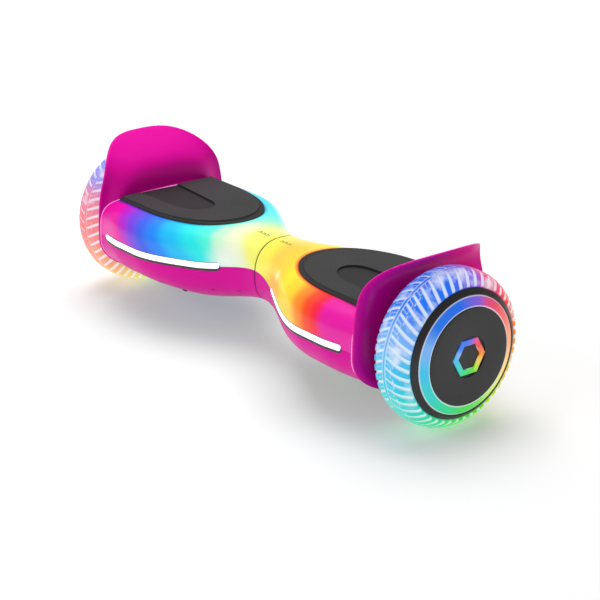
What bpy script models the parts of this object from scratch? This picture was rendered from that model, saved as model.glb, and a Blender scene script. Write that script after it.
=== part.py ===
"""Self-balancing board: two halves that twist about a centre tube, with a hub motor in each wheel.

X runs along the wheel axles, the light bars face -Y, Z is up, and the wheels stand on Z = 0.
Every piece is drawn for the +X half first; the -X half is its mirror image.
"""
import math

import bmesh
import bpy
from mathutils import Matrix, Vector

# Wheels
wheel_radius = 0.0825
axle_height = wheel_radius
wheel_offset = 0.2665          # centre plane of a tyre from the middle of the board
tyre_width = 0.0484
tyre_shoulder = 0.011          # how far the tread rounds off towards the side walls
tyre_bore = 0.0684
hub_ring_inner = 0.0619
hub_ring_rise = 0.0043
light_ring_inner = 0.0512
light_ring_rise = 0.0092
cap_depth = 0.0135             # from the cap's face back to the face of the rim
cap_wall = 0.0030
cap_edge = 0.0008
emblem_radius = 0.0210
emblem_depth = 0.0011

# Hub motor
drum_inner = 0.0602
drum_web = 0.0050
magnet_thickness = 0.0027
magnet_length = 0.0260
air_gap = 0.0007
stator_teeth = 12
stator_length = 0.0220
axle_radius = 0.0080
axle_collar = 0.0100
axle_reach = 0.0705            # from the tyre's centre plane in to the clamp
bearing_outer = 0.0160
bearing_length = 0.0100
bearing_recess = 0.0012         # how far the outer bearing sits inside the wheel's face
bearing_lip = 0.0006
drum_hub_wall = 0.0045
cover_thickness = 0.0032
cover_boss = 0.0210
cover_boss_rise = 0.0055
cover_spigot = 0.0027
cover_rebate = 0.0020

# Body. It rides on the axles, so its heights are measured from them, and its ends from the wheels.
waist_half_width = 0.0361
shoulder_half_width = 0.0925
rim_half_width = 0.0868
shoulder_reach = 0.150
waist_top = axle_height + 0.0410
deck_top = axle_height + 0.0421
waist_bottom = axle_height - 0.0321
belly_bottom = axle_height - 0.0530
belly_reach = 0.110
waist_parting = axle_height + 0.0099
bar_parting = axle_height + 0.0005
parting_reach = 0.075
waist_exponent = 2.41
deck_exponent = 4.2
belly_exponent = 2.05
pivot_height = axle_height + 0.0045
rim_centre_height = axle_height - 0.0048
shell_wall = 0.0025
seam_gap = 0.0016
fender_plane = wheel_offset - 0.0380
body_end = fender_plane + 0.0035
tuck_start = fender_plane - 0.0485

# Fenders
fender_half_width = 0.0878
fender_top = 2 * wheel_radius + 0.0190
fender_bottom = axle_height - 0.0549
flare_start = 2 * wheel_radius - 0.0297
flare_reach = 0.0412
flare_exponent = 2.43
fender_exponent_top = 2.97
fender_exponent_bottom = 2.06
fender_dish = 0.0080
fender_dish_run = 0.0300
fender_dish_margin = 0.0040
fender_thickness = 0.0030
fender_hole = 0.0220

# Foot pads
pad_top = deck_top + 0.0019
pad_thickness = 0.0049
pad_half_width = 0.0649
pad_tip = 0.0619
pad_shoulder = 0.1622
pad_end = fender_plane - 0.0117
pad_exponent = 2.1
pad_bevel = 0.0014
pad_border = 0.0080            # solid edge round the hollow underside
pad_relief = 0.0020
pad_pocket_gap = 0.0008
pad_travel = 0.0015
tongue_tip = 0.1140
tongue_centre = -0.0135
tongue_half_width = 0.0225
tongue_depth = 0.0012
plunger_x = 0.140
plunger_y = 0.032
plunger_radius = 0.0032
plunger_stop_radius = 0.0060
plunger_stop_thickness = 0.0018
plunger_pin_radius = 0.0016
plunger_foot = axle_height + 0.0210

# Light bars
bar_inner_end = 0.0460
bar_outer_end = fender_plane - 0.0185
bar_height = 0.0092
bar_depth = 0.0050
bar_proud = 0.0005
bar_slot_front = 0.006
bar_slot_back = 0.012
led_thickness = 0.0015

# Frame castings and centre pivot
tube_outer = 0.0120
tube_inner = 0.0095
tube_half_length = 0.0580
bush_outer = 0.0150
bush_length = 0.0140
neck_radius = 0.0190
neck_end = 0.0550
flange_radius = 0.0328
flange_thickness = 0.0035
washer_radius = 0.0300
washer_thickness = 0.0024
frame_start = 0.0620
frame_end = fender_plane - 0.0145
frame_half_width = 0.0440
frame_deck_top = axle_height + 0.0095
frame_deck_thickness = 0.0040
frame_rib = 0.0040
frame_rib_drop = 0.0077
clamp_start = frame_end - 0.0180
clamp_half_width = 0.0240
clamp_drop = 0.0155
bulkhead_half_width = 0.0300
bulkhead_low = axle_height - 0.0125
bulkhead_thickness = 0.0045
weld = 0.0002                  # small step that keeps joined faces from lying in one plane
post_radius = 0.0045
post_y = 0.0300
post_places = (0.086, frame_end - 0.0240)
standoff_radius = 0.0030
standoff_height = 0.0030
standoff_x = 0.0140            # from the plungers' line
standoff_y = 0.0200
board_thickness = 0.0016
gyro_half_length = 0.0200
gyro_half_width = 0.0400
sensor_length = 0.0030
sensor_height = 0.0105
sensor_gap = 0.0025            # from the plunger's centre line to the sensor on either side

# Electrics
battery_size = (0.112, 0.070, 0.034)
battery_centre = 0.136
battery_floor = belly_bottom + 0.0136
harness_radius = 0.0042
bracket_width = 0.018
bracket_half_span = 0.0560
bracket_thickness = 0.0020
bracket_post_y = 0.0500
board_post_height = belly_bottom + 0.0165
speaker_x = 0.0720
controller_ends = (0.092, 0.178)
controller_half_width = 0.0320
heat_sink_thickness = 0.0090
controller_posts = (0.102, 0.168)
controller_post_y = 0.0240
circuit_gap = 0.0040
circuit_margin = 0.0020
capacitor_places = (0.104, 0.118, 0.132)
capacitor_radius = 0.0050
capacitor_height = 0.0110

# Charging inlet and power button
port_x = 0.185
button_x = 0.150
fitting_height = axle_height - 0.0145
fitting_sink = 0.0022          # the fittings' flat faces lie this far inside the curved skin
fitting_mouth = 0.0006
fitting_flange_depth = 0.0060
fitting_flange_thickness = 0.0020
socket_radius = 0.0110
socket_flange = 0.0126
socket_wall = 0.0020
socket_bore = 0.0065
socket_floor = 0.0170
socket_back = 0.0030
pin_radius = 0.0010
pin_circle = 0.0034
pin_tip = 0.0105
cap_radius = 0.0106
cap_thickness = 0.0014
cap_plug_depth = 0.0020
hinge_lift = 0.0128
hinge_out = 0.0009
hinge_radius = 0.0012
hinge_half_length = 0.0042
strap_half_width = 0.0040
switch_radius = 0.0107
switch_flange = 0.0122
switch_wall = 0.0020
switch_bore = 0.0070
switch_floor = 0.0080
switch_back = 0.0040
button_radius = 0.0066
button_proud = 0.0016
button_edge = 0.0006
button_travel = 0.0012

# Running and fitting gaps
fit = 0.0003
seam = 0.0002                  # half the gap where the two shells meet

RING = 20
SMALL_ROUND = 16
LARGE_ROUND = 28
TYRE_ROUND = 36

pocket_floor = pad_top - pad_thickness - pad_travel - 0.0005
shell_ceiling = pocket_floor - shell_wall
open_air = pad_top + 0.0135      # a height that clears the deck, where cutters end
fitting_ream = 0.0003          # the shell's holes are this much wider than the fittings


def clear_scene():
    for item in list(bpy.data.objects):
        bpy.data.objects.remove(item, do_unlink=True)


def collection(name):
    group = bpy.data.collections.new(name)
    bpy.context.scene.collection.children.link(group)
    return group


clear_scene()
parts = collection("hoverboard")
cutters = collection("cutters")


def finish(name, colour, roughness, metallic=0.0):
    material = bpy.data.materials.new(name)
    material.use_nodes = True
    shader = material.node_tree.nodes["Principled BSDF"]
    shader.inputs["Base Color"].default_value = (*colour, 1.0)
    shader.inputs["Roughness"].default_value = roughness
    shader.inputs["Metallic"].default_value = metallic
    return material


MAGENTA = (0.80, 0.02, 0.42)
YELLOW = (0.95, 0.75, 0.20)
CHARCOAL = (0.05, 0.05, 0.05)
BLACK = (0.01, 0.01, 0.01)
ALLOY = (0.62, 0.62, 0.64)
STEEL = (0.45, 0.45, 0.47)
CLEAR = (0.85, 0.90, 0.95)
GREEN_BOARD = (0.02, 0.20, 0.08)


def smooth(t):
    t = min(max(t, 0.0), 1.0)
    return t * t * (3.0 - 2.0 * t)


def blend(a, b, t):
    return a + (b - a) * t


# ---------------------------------------------------------------- making and joining solids

def place(name, mesh, group):
    item = bpy.data.objects.new(name, mesh)
    group.objects.link(item)
    if group == cutters:
        item.hide_render = True
        item.display_type = "WIRE"
    return item


def part(name, mesh, colour, roughness, metallic=0.0, round_edges=True):
    """A finished piece of the board, shaded smooth apart from its sharp edges."""
    mesh.materials.clear()
    mesh.materials.append(finish(name, colour, roughness, metallic))
    if round_edges:
        mesh.shade_smooth()
        mesh.set_sharp_from_angle(angle=math.radians(35))
    return place(name, mesh, parts)


def closed_mesh(name, points, faces):
    mesh = bpy.data.meshes.new(name)
    mesh.from_pydata(points, [], faces)
    shape = bmesh.new()
    shape.from_mesh(mesh)
    bmesh.ops.recalc_face_normals(shape, faces=shape.faces)
    shape.to_mesh(mesh)
    shape.free()
    return mesh


def box(name, low, high):
    shape = bmesh.new()
    bmesh.ops.create_cube(shape, size=1.0)
    size = [abs(b - a) for a, b in zip(low, high)]
    centre = [(a + b) / 2 for a, b in zip(low, high)]
    shape.transform(Matrix.Translation(centre) @ Matrix.Diagonal((*size, 1.0)))
    mesh = bpy.data.meshes.new(name)
    shape.to_mesh(mesh)
    shape.free()
    return mesh


def rod(name, start, end, radius, segments=SMALL_ROUND):
    """A cylinder from one point to another."""
    start, end = Vector(start), Vector(end)
    shape = bmesh.new()
    bmesh.ops.create_cone(
        shape, cap_ends=True, segments=segments, radius1=radius, radius2=radius,
        depth=(end - start).length)
    turn = Vector((0, 0, 1)).rotation_difference(end - start).to_matrix().to_4x4()
    shape.transform(Matrix.Translation((start + end) / 2) @ turn)
    mesh = bpy.data.meshes.new(name)
    shape.to_mesh(mesh)
    shape.free()
    return mesh


def baked(item):
    """The object's evaluated mesh in world space; the object itself is removed."""
    bpy.context.view_layer.update()
    graph = bpy.context.evaluated_depsgraph_get()
    mesh = bpy.data.meshes.new_from_object(item.evaluated_get(graph))
    mesh.transform(item.matrix_world)
    shape = bmesh.new()
    shape.from_mesh(mesh)
    bmesh.ops.remove_doubles(shape, verts=shape.verts, dist=0.000001)
    bmesh.ops.recalc_face_normals(shape, faces=shape.faces)
    shape.to_mesh(mesh)
    shape.free()
    bpy.data.objects.remove(item, do_unlink=True)
    return mesh


def plate(name, outlines, low, high, turn=Matrix.Identity(4)):
    """Flat outlines drawn in X and Y and extruded from low to high; later outlines are holes."""
    curve = bpy.data.curves.new(name, "CURVE")
    curve.dimensions = "2D"
    curve.fill_mode = "BOTH"
    curve.extrude = (high - low) / 2
    for outline in outlines:
        spline = curve.splines.new("POLY")
        spline.points.add(len(outline) - 1)
        for point, (x, y) in zip(spline.points, outline):
            point.co = (x, y, 0.0, 1.0)
        spline.use_cyclic_u = True
    holder = place(name + "_outline", curve, cutters)
    holder.matrix_world = turn @ Matrix.Translation((0, 0, (low + high) / 2))
    return baked(holder)


def turned_mesh(name, profile, closed, segments, matrix):
    """A profile of (radius, height) points turned about Z, then moved by the matrix."""
    points = [(radius, 0.0, height) for radius, height in profile]
    if closed:
        area = sum(a[0] * b[2] - b[0] * a[2] for a, b in zip(points, points[1:] + points[:1]))
        if area > 0:
            points.reverse()
    edges = [(i, i + 1) for i in range(len(points) - 1)]
    if closed:
        edges.append((len(points) - 1, 0))
    mesh = bpy.data.meshes.new(name)
    mesh.from_pydata(points, edges, [])
    holder = place(name + "_profile", mesh, cutters)
    holder.matrix_world = matrix
    screw = holder.modifiers.new("Turn", "SCREW")
    screw.steps = segments
    screw.render_steps = segments
    screw.use_merge_vertices = True
    screw.merge_threshold = 0.00001
    return baked(holder)


def ring_profile(inner, outer, start, end):
    return [(inner, start), (outer, start), (outer, end), (inner, end)]


def loft(name, rings):
    """Rings with the same number of points joined in order, with both ends closed."""
    count = len(rings[0])
    points = [point for ring in rings for point in ring]
    faces = []
    for row in range(len(rings) - 1):
        for i in range(count):
            j = (i + 1) % count
            a, b = row * count, (row + 1) * count
            faces.append((a + i, a + j, b + j, b + i))
    faces.append(tuple(range(count)))
    last = (len(rings) - 1) * count
    faces.append(tuple(reversed(range(last, last + count))))
    return closed_mesh(name, points, faces)


def mirrored(mesh, side):
    """The mesh itself for the +X half, or its mirror image for the -X half."""
    if side < 0:
        mesh.transform(Matrix.Diagonal((-1.0, 1.0, 1.0, 1.0)))
        mesh.flip_normals()
    return mesh


def boolean(item, tool_mesh, operation):
    tool = place(item.name + "_" + tool_mesh.name, tool_mesh, cutters)
    modifier = item.modifiers.new(tool_mesh.name, "BOOLEAN")
    modifier.operation = operation
    modifier.solver = "EXACT"
    modifier.object = tool
    return tool


def cut(item, tool_mesh):
    return boolean(item, tool_mesh, "DIFFERENCE")


def join(item, tool_mesh):
    return boolean(item, tool_mesh, "UNION")


def keep(item, tool_mesh):
    return boolean(item, tool_mesh, "INTERSECT")


def ride_on(item, empty):
    """Put the piece's origin on the empty, which stands on its joint's axis, and parent it."""
    item.data.transform(Matrix.Translation(-empty.location))
    item.location = empty.location
    item.parent = empty
    item.matrix_parent_inverse = Matrix.Translation(-empty.location)
    return item


def joint_empty(name, point, carrier=None):
    empty = bpy.data.objects.new(name, None)
    empty.location = point
    empty.empty_display_size = 0.02
    parts.objects.link(empty)
    if carrier:
        empty.parent = carrier
        empty.matrix_parent_inverse = Matrix.Translation(-carrier.location)
    return empty


# ---------------------------------------------------------------- body outline

def half_width(x):
    widening = blend(waist_half_width, shoulder_half_width, smooth(x / shoulder_reach))
    tuck = smooth((x - tuck_start) / (fender_plane - tuck_start))
    return widening - (shoulder_half_width - rim_half_width) * tuck


def middle_height(x):
    return blend(pivot_height, rim_centre_height, min(max(x, 0.0) / fender_plane, 1.0))


def top_height(x):
    return blend(waist_top, deck_top, smooth(x / 0.080))


def bottom_height(x):
    return blend(waist_bottom, belly_bottom, smooth(x / belly_reach))


def parting_height(x):
    return blend(waist_parting, bar_parting, smooth(x / parting_reach))


def exponents(x):
    share = smooth(x / 0.120)
    return blend(waist_exponent, deck_exponent, share), blend(waist_exponent, belly_exponent, share)


def squared_circle(width, height, exponent, angle):
    c, s = math.cos(angle), math.sin(angle)
    y = width * math.copysign(abs(c) ** (2 / exponent), c)
    z = height * math.copysign(abs(s) ** (2 / exponent), s)
    return y, z


def body_ring(x, inset=0.0, ceiling=None):
    upper, lower = exponents(x)
    width = half_width(x) - inset
    middle = middle_height(x)
    top = top_height(x) - inset
    if ceiling:
        top = blend(top, min(top, ceiling), smooth((x - 0.035) / 0.020))
    bottom = bottom_height(x) + inset
    ring = []
    for i in range(RING):
        angle = 2 * math.pi * i / RING
        if math.sin(angle) >= 0:
            y, z = squared_circle(width, top - middle, upper, angle)
        else:
            y, z = squared_circle(width, middle - bottom, lower, angle)
        ring.append((x, y, middle + z))
    return ring


def skin_y(x, z):
    """Half the body's depth at this place: the distance of its skin from the middle plane."""
    upper, lower = exponents(x)
    middle = middle_height(x)
    if z >= middle:
        share, exponent = (z - middle) / (top_height(x) - middle), upper
    else:
        share, exponent = (middle - z) / (middle - bottom_height(x)), lower
    return half_width(x) * (1 - min(share, 1.0) ** exponent) ** (1 / exponent)


def ceiling_height(x, y):
    """The underside of the upper shell's deck at this place, on the flats between its ring points."""
    ring = body_ring(x, shell_wall, shell_ceiling)[:RING // 4 + 1]
    for (_, outer_y, outer_z), (_, inner_y, inner_z) in zip(ring, ring[1:]):
        if inner_y <= abs(y) <= outer_y:
            return blend(inner_z, outer_z, (abs(y) - inner_y) / (outer_y - inner_y))
    return middle_height(x)


def body_solid(name):
    stations = [seam_gap / 2, 0.020, 0.040, 0.060, 0.080, 0.100, 0.122, 0.150, 0.185, body_end]
    return loft(name, [body_ring(x) for x in stations])


def body_hollow(name):
    stations = [-0.004, 0.020, 0.040, 0.056, 0.080, 0.100, 0.122, 0.150, 0.185, body_end + 0.004]
    return loft(name, [body_ring(x, shell_wall, shell_ceiling) for x in stations])


def parting_block(name, above):
    """Everything above, or below, the line where the two shells meet."""
    steps = [-0.010, 0.0, 0.015, 0.030, 0.045, 0.060, parting_reach, body_end + 0.018]
    shift = seam if above else -seam
    far = open_air if above else 0.0
    outline = [(x, parting_height(x) + shift) for x in steps]
    outline += [(steps[-1], far), (steps[0], far)]
    upright = Matrix.Rotation(math.radians(90), 4, "X")
    return plate(name, [outline], -0.150, 0.150, upright)


# ---------------------------------------------------------------- fender

def flare(z):
    rise = max((z - flare_start) / (fender_top - flare_start), 0.0)
    return fender_plane + flare_reach * rise ** flare_exponent


def fender_point(angle, share):
    """A point on the fender's outer face, from its rim (share 0) in to the axle hole (share 1)."""
    height, exponent = fender_top - rim_centre_height, fender_exponent_top
    if math.sin(angle) < 0:
        height, exponent = rim_centre_height - fender_bottom, fender_exponent_bottom
    y, z = squared_circle(fender_half_width, height, exponent, angle)
    rim = Vector((y, z + rim_centre_height))
    hole = Vector((math.cos(angle) * fender_hole, math.sin(angle) * fender_hole + axle_height))
    spot = rim.lerp(hole, share)
    from_rim = (spot - rim).length
    dish = fender_dish * smooth((from_rim - fender_dish_margin) / fender_dish_run)
    return flare(spot.y) - dish, spot.x, spot.y


FENDER_SHARES = (0.0, 0.07, 0.18, 0.32, 0.55, 1.0)


def fender_sheet(name):
    points, faces = [], []
    for share in FENDER_SHARES:
        for i in range(RING):
            points.append(fender_point(2 * math.pi * i / RING, share))
    for row in range(len(FENDER_SHARES) - 1):
        for i in range(RING):
            j = (i + 1) % RING
            a, b = row * RING, (row + 1) * RING
            faces.append((a + i, a + j, b + j, b + i))
    mesh = bpy.data.meshes.new(name)
    mesh.from_pydata(points, [], faces)
    return mesh


def fender_envelope(name):
    """The room that the fender and its gap take out of the end of the shells."""
    back = fender_thickness * 1.08 + fit
    spread = 1.3
    wide = []
    for i in range(RING):
        x, y, z = fender_point(2 * math.pi * i / RING, 0.0)
        wide.append((x - back, y * spread, (z - rim_centre_height) * spread + rim_centre_height))
    rings = [[(body_end + 0.070, y, z) for x, y, z in wide], wide]
    for share in FENDER_SHARES:
        ring = [fender_point(2 * math.pi * i / RING, share) for i in range(RING)]
        rings.append([(x - back, y, z) for x, y, z in ring])
    return loft(name, rings)


# ---------------------------------------------------------------- light bar and pad outlines

def bar_stations():
    """Places along the light bar, closer together at its rounded ends, with the half height there."""
    radius = bar_height / 2
    rounds = [0.0, 0.25, 1.0]
    inner = [bar_inner_end + radius * t for t in rounds]
    outer = [bar_outer_end - radius * t for t in reversed(rounds)]
    run = [blend(inner[-1], outer[0], i / 9) for i in range(1, 9)]
    for x in inner + run + outer:
        from_end = min(x - bar_inner_end, bar_outer_end - x)
        t = 1 - min(from_end / radius, 1.0)
        yield x, max(radius * math.sqrt(1 - t * t), radius * 0.35)


def bar_solid(name, front, back, grow=0.0):
    """The light bar's shape between two depths, measured inwards from the body's skin."""
    rings = []
    stations = list(bar_stations())
    for index, (x, half) in enumerate(stations):
        end_shift = {0: -grow, len(stations) - 1: grow}.get(index, 0.0)
        x += end_shift
        middle = parting_height(x)
        top, bottom = middle + half + grow, middle - half - grow
        rings.append([
            (x, -(skin_y(x, top) - front), top), (x, -(skin_y(x, top) - back), top),
            (x, -(skin_y(x, bottom) - back), bottom), (x, -(skin_y(x, bottom) - front), bottom)])
    return loft(name, rings)


def pad_ring(gap):
    """The whole outline of the pad, once round."""
    reach = pad_shoulder - pad_tip + gap
    width = pad_half_width + gap
    outline = [(pad_end + gap, -width)]
    steps = 16
    for i in range(steps + 1):
        angle = -math.pi / 2 + math.pi * i / steps
        x, y = squared_circle(reach, width, pad_exponent, angle)
        outline.append((pad_shoulder - x, y))
    outline.append((pad_end + gap, width))
    return outline


def tongue_ring():
    """The sunken tongue in the pad: a round tip and straight sides that run out over the pad's end."""
    outline = [(pad_end + 0.004, tongue_centre - tongue_half_width)]
    tip_reach = 0.030
    steps = 10
    for i in range(steps + 1):
        angle = -math.pi / 2 + math.pi * i / steps
        outline.append((
            tongue_tip + tip_reach - tip_reach * math.cos(angle),
            tongue_centre + tongue_half_width * math.sin(angle)))
    outline.append((pad_end + 0.004, tongue_centre + tongue_half_width))
    return outline


# ---------------------------------------------------------------- pieces of one half

def half_name(side):
    return "right" if side > 0 else "left"


def skin_frame(x, z):
    """Point, outward direction and upward direction on the back skin, for a fitting set in it."""
    step = 0.002
    slope = (skin_y(x, z + step) - skin_y(x, z - step)) / (2 * step)
    up = Vector((0.0, slope, 1.0)).normalized()
    out = Vector((0.0, 1.0, -slope)).normalized()
    return Vector((x, skin_y(x, z), z)), out, up


def fitting_matrix(x):
    """Z points out of the back skin, X stays along the board."""
    spot, out, up = skin_frame(x, fitting_height)
    across = up.cross(out)
    frame = Matrix((across, up, out)).transposed().to_4x4()
    return Matrix.Translation(spot - out * fitting_sink) @ frame


def make_shells(side, carrier):
    name = half_name(side)
    upper = part(name + "_upper_shell", mirrored(body_solid("upper"), side), YELLOW, 0.30)
    cut(upper, mirrored(body_hollow("hollow"), side))
    keep(upper, mirrored(parting_block("above_parting", True), side))
    cut(upper, mirrored(plate("pad_pocket", [pad_ring(pad_pocket_gap)], pocket_floor, open_air), side))
    for y in (-plunger_y, plunger_y):
        low, high = (plunger_x, y, shell_ceiling - shell_wall), (plunger_x, y, open_air)
        cut(upper, mirrored(rod("plunger_hole", low, high, plunger_radius + pad_pocket_gap, 12), side))
    cut(upper, mirrored(bar_solid("bar_slot", -bar_slot_front, bar_slot_back, fit), side))
    cut(upper, mirrored(fender_envelope("fender_room"), side))
    ride_on(upper, carrier)

    lower = part(name + "_lower_shell", mirrored(body_solid("lower"), side), MAGENTA, 0.32)
    hollow = cut(lower, mirrored(body_hollow("hollow"), side))
    if side < 0:
        height = battery_floor + battery_size[2]
        stand = [(battery_centre, -bracket_post_y), (battery_centre, bracket_post_y)]
    else:
        height = board_post_height
        stand = [(x, y) for x in controller_posts for y in (-controller_post_y, controller_post_y)]
        stand.append((speaker_x, 0.0))
    for x, y in stand:
        cut(hollow, mirrored(rod("post", (x, y, -0.010), (x, y, height), post_radius, 8), side))
    keep(lower, mirrored(parting_block("below_parting", False), side))
    cut(lower, mirrored(bar_solid("bar_slot", -bar_slot_front, bar_slot_back, fit), side))
    cut(lower, mirrored(fender_envelope("fender_room"), side))
    if side > 0:
        for x, radius in ((port_x, socket_radius), (button_x, switch_radius)):
            spot, out, _ = skin_frame(x, fitting_height)
            cut(lower, rod("fitting_hole", spot - out * 0.012, spot + out * 0.010, radius + fitting_ream, 20))
    ride_on(lower, carrier)


def make_fender(side, carrier):
    sheet = mirrored(fender_sheet("fender"), side)
    fender = part(half_name(side) + "_fender", sheet, MAGENTA, 0.32)
    solid = fender.modifiers.new("Thickness", "SOLIDIFY")
    solid.thickness = fender_thickness
    solid.offset = -1.0 if outward(sheet, side) else 1.0
    ride_on(fender, carrier)


def outward(sheet, side):
    """True when the sheet's faces already look away from the middle of the board."""
    return sum(face.normal.x * face.area for face in sheet.polygons) * side > 0


def make_pad(side, carrier):
    name = half_name(side)
    bottom = pad_top - pad_thickness
    slab = plate("pad", [pad_ring(0.0)], bottom, pad_top)
    pad = part(name + "_footpad", mirrored(slab, side), CHARCOAL, 0.85)
    bevel = pad.modifiers.new("Edge", "BEVEL")
    bevel.width = pad_bevel
    bevel.segments = 2
    bevel.limit_method = "ANGLE"
    bevel.angle_limit = math.radians(60)
    relief = plate("relief", [pad_ring(-pad_border)], bottom - 0.001, bottom + pad_relief)
    cut(pad, mirrored(relief, side))
    cut(pad, mirrored(plate("tongue", [tongue_ring()], pad_top - tongue_depth, open_air), side))
    ride_on(pad, carrier)
    stem_top = bottom + pad_relief - fit
    stop_top = ceiling_height(plunger_x, plunger_y + plunger_stop_radius) - fit
    stop_low = stop_top - plunger_stop_thickness
    profile = [
        (0.0, stem_top), (plunger_radius, stem_top), (plunger_radius, stop_top),
        (plunger_stop_radius, stop_top), (plunger_stop_radius, stop_low),
        (plunger_pin_radius, stop_low - 0.0012), (plunger_pin_radius, plunger_foot), (0.0, plunger_foot)]
    for label, y in (("front", -plunger_y), ("rear", plunger_y)):
        spot = Matrix.Translation((side * plunger_x, y, 0.0))
        plunger = part(
            name + "_" + label + "_plunger", turned_mesh("plunger", profile, False, 12, spot), BLACK, 0.5)
        ride_on(plunger, carrier)


def make_lights(side, carrier):
    name = half_name(side)
    lens = mirrored(bar_solid("lens", -bar_proud, bar_depth), side)
    ride_on(part(name + "_headlight_lens", lens, (0.95, 0.95, 0.95), 0.15), carrier)
    back = bar_depth + fit
    board = mirrored(bar_solid("led_board", back, back + led_thickness), side)
    ride_on(part(name + "_headlight_board", board, GREEN_BOARD, 0.6), carrier)


def axle_seat(side):
    """The round bed for the axle, shared by the frame and its clamp."""
    start, end = (clamp_start - 0.006, 0, axle_height), (frame_end + 0.010, 0, axle_height)
    return mirrored(rod("axle_seat", start, end, axle_radius + fit, SMALL_ROUND), side)


def pivot_rod(name, start, end, radius, segments, side):
    return mirrored(rod(name, (start, 0, pivot_height), (end, 0, pivot_height), radius, segments), side)


def frame_pieces():
    """The blocks, ribs and posts of the casting, that are joined to its deck."""
    deck_low = frame_deck_top - frame_deck_thickness
    rib_end = clamp_start - 0.004
    for y in (-frame_half_width + weld, frame_half_width - frame_rib - weld):
        low = (frame_start + weld, y, deck_low - frame_rib_drop)
        yield box("rib", low, (rib_end, y + frame_rib, deck_low + 0.001))
    yield box(
        "bulkhead", (frame_start - weld, -bulkhead_half_width, bulkhead_low),
        (frame_start + bulkhead_thickness, bulkhead_half_width, deck_low + 0.002))
    yield box(
        "axle_block", (clamp_start, -clamp_half_width, axle_height + fit),
        (frame_end - weld, clamp_half_width, deck_low + 0.001))
    for x in post_places:
        top = ceiling_height(x - post_radius, post_y + post_radius) - fit
        for y in (-post_y, post_y):
            yield rod("post", (x, y, deck_low + 0.001), (x, y, top), post_radius, 8)
    for x in (plunger_x - standoff_x, plunger_x + standoff_x):
        for y in (-standoff_y, standoff_y):
            top = frame_deck_top + standoff_height
            yield rod("standoff", (x, y, deck_low + 0.001), (x, y, top), standoff_radius, 8)


def make_frame(side, carrier):
    name = half_name(side)
    low = (frame_start, -frame_half_width, frame_deck_top - frame_deck_thickness)
    high = (frame_end, frame_half_width, frame_deck_top)
    frame = part(name + "_frame", mirrored(box("deck", low, high), side), ALLOY, 0.45, 0.9)
    for piece in frame_pieces():
        join(frame, mirrored(piece, side))
    face = washer_thickness / 2 + fit
    join(frame, pivot_rod("neck", face + 0.001, frame_start + 0.003, neck_radius, 20, side))
    join(frame, pivot_rod("flange", face, face + flange_thickness, flange_radius, 24, side))
    bore = (bush_outer if side > 0 else tube_outer) + fit
    cut(frame, pivot_rod("bore", -0.010, frame_start + 0.020, bore, 20, side))
    cut(frame, axle_seat(side))
    ride_on(frame, carrier)

    clamp_low = (clamp_start + 0.001, -clamp_half_width, axle_height - clamp_drop)
    clamp_high = (frame_end - 0.001, clamp_half_width, axle_height - fit)
    clamp = part(name + "_axle_clamp", mirrored(box("clamp", clamp_low, clamp_high), side), STEEL, 0.4, 0.9)
    cut(clamp, axle_seat(side))
    ride_on(clamp, carrier)
    make_gyro_board(side, carrier)


def make_gyro_board(side, carrier):
    """The balance board, with a light gate on each side of both plungers' pins."""
    low = frame_deck_top + standoff_height + fit
    slab = box(
        "gyro", (plunger_x - gyro_half_length, -gyro_half_width, low),
        (plunger_x + gyro_half_length, gyro_half_width, low + board_thickness))
    board = part(half_name(side) + "_gyro_board", mirrored(slab, side), GREEN_BOARD, 0.6)
    for y in (-plunger_y, plunger_y):
        for x in (plunger_x - sensor_gap - sensor_length, plunger_x + sensor_gap):
            sensor = box(
                "sensor", (x, y - sensor_length, low + 0.001),
                (x + sensor_length, y + sensor_length, low + sensor_height))
            join(board, mirrored(sensor, side))
    ride_on(board, carrier)


# ---------------------------------------------------------------- wheels and hub motors

def wheel_matrix(side, segments=SMALL_ROUND):
    """Z runs out along the axle; a piece turned in this many steps has a flat at the bottom."""
    outwards = Matrix.Rotation(math.radians(90 * side), 4, "Y")
    half_step = Matrix.Rotation(math.pi / segments, 4, "Z")
    return Matrix.Translation((side * wheel_offset, 0, axle_height)) @ outwards @ half_step


def wheel_piece(name, profile, closed, segments, side, carrier, look):
    mesh = turned_mesh(name, profile, closed, segments, wheel_matrix(side, segments))
    return ride_on(part(name, mesh, *look), carrier)


def tyre_profile():
    """Half-round shoulders and a plain tread, whose flats touch the wheel's circle from outside."""
    half = tyre_width / 2
    flat = half - tyre_shoulder
    tread = wheel_radius / math.cos(math.pi / TYRE_ROUND)
    wall_radius = wheel_radius - tyre_shoulder
    round_radius, round_half = wheel_radius - tyre_shoulder * 0.45, half - tyre_shoulder * 0.25
    return [
        (tyre_bore, -half), (wall_radius, -half), (round_radius, -round_half), (tread, -flat),
        (tread, flat), (round_radius, round_half), (wall_radius, half), (tyre_bore, half)]


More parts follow.
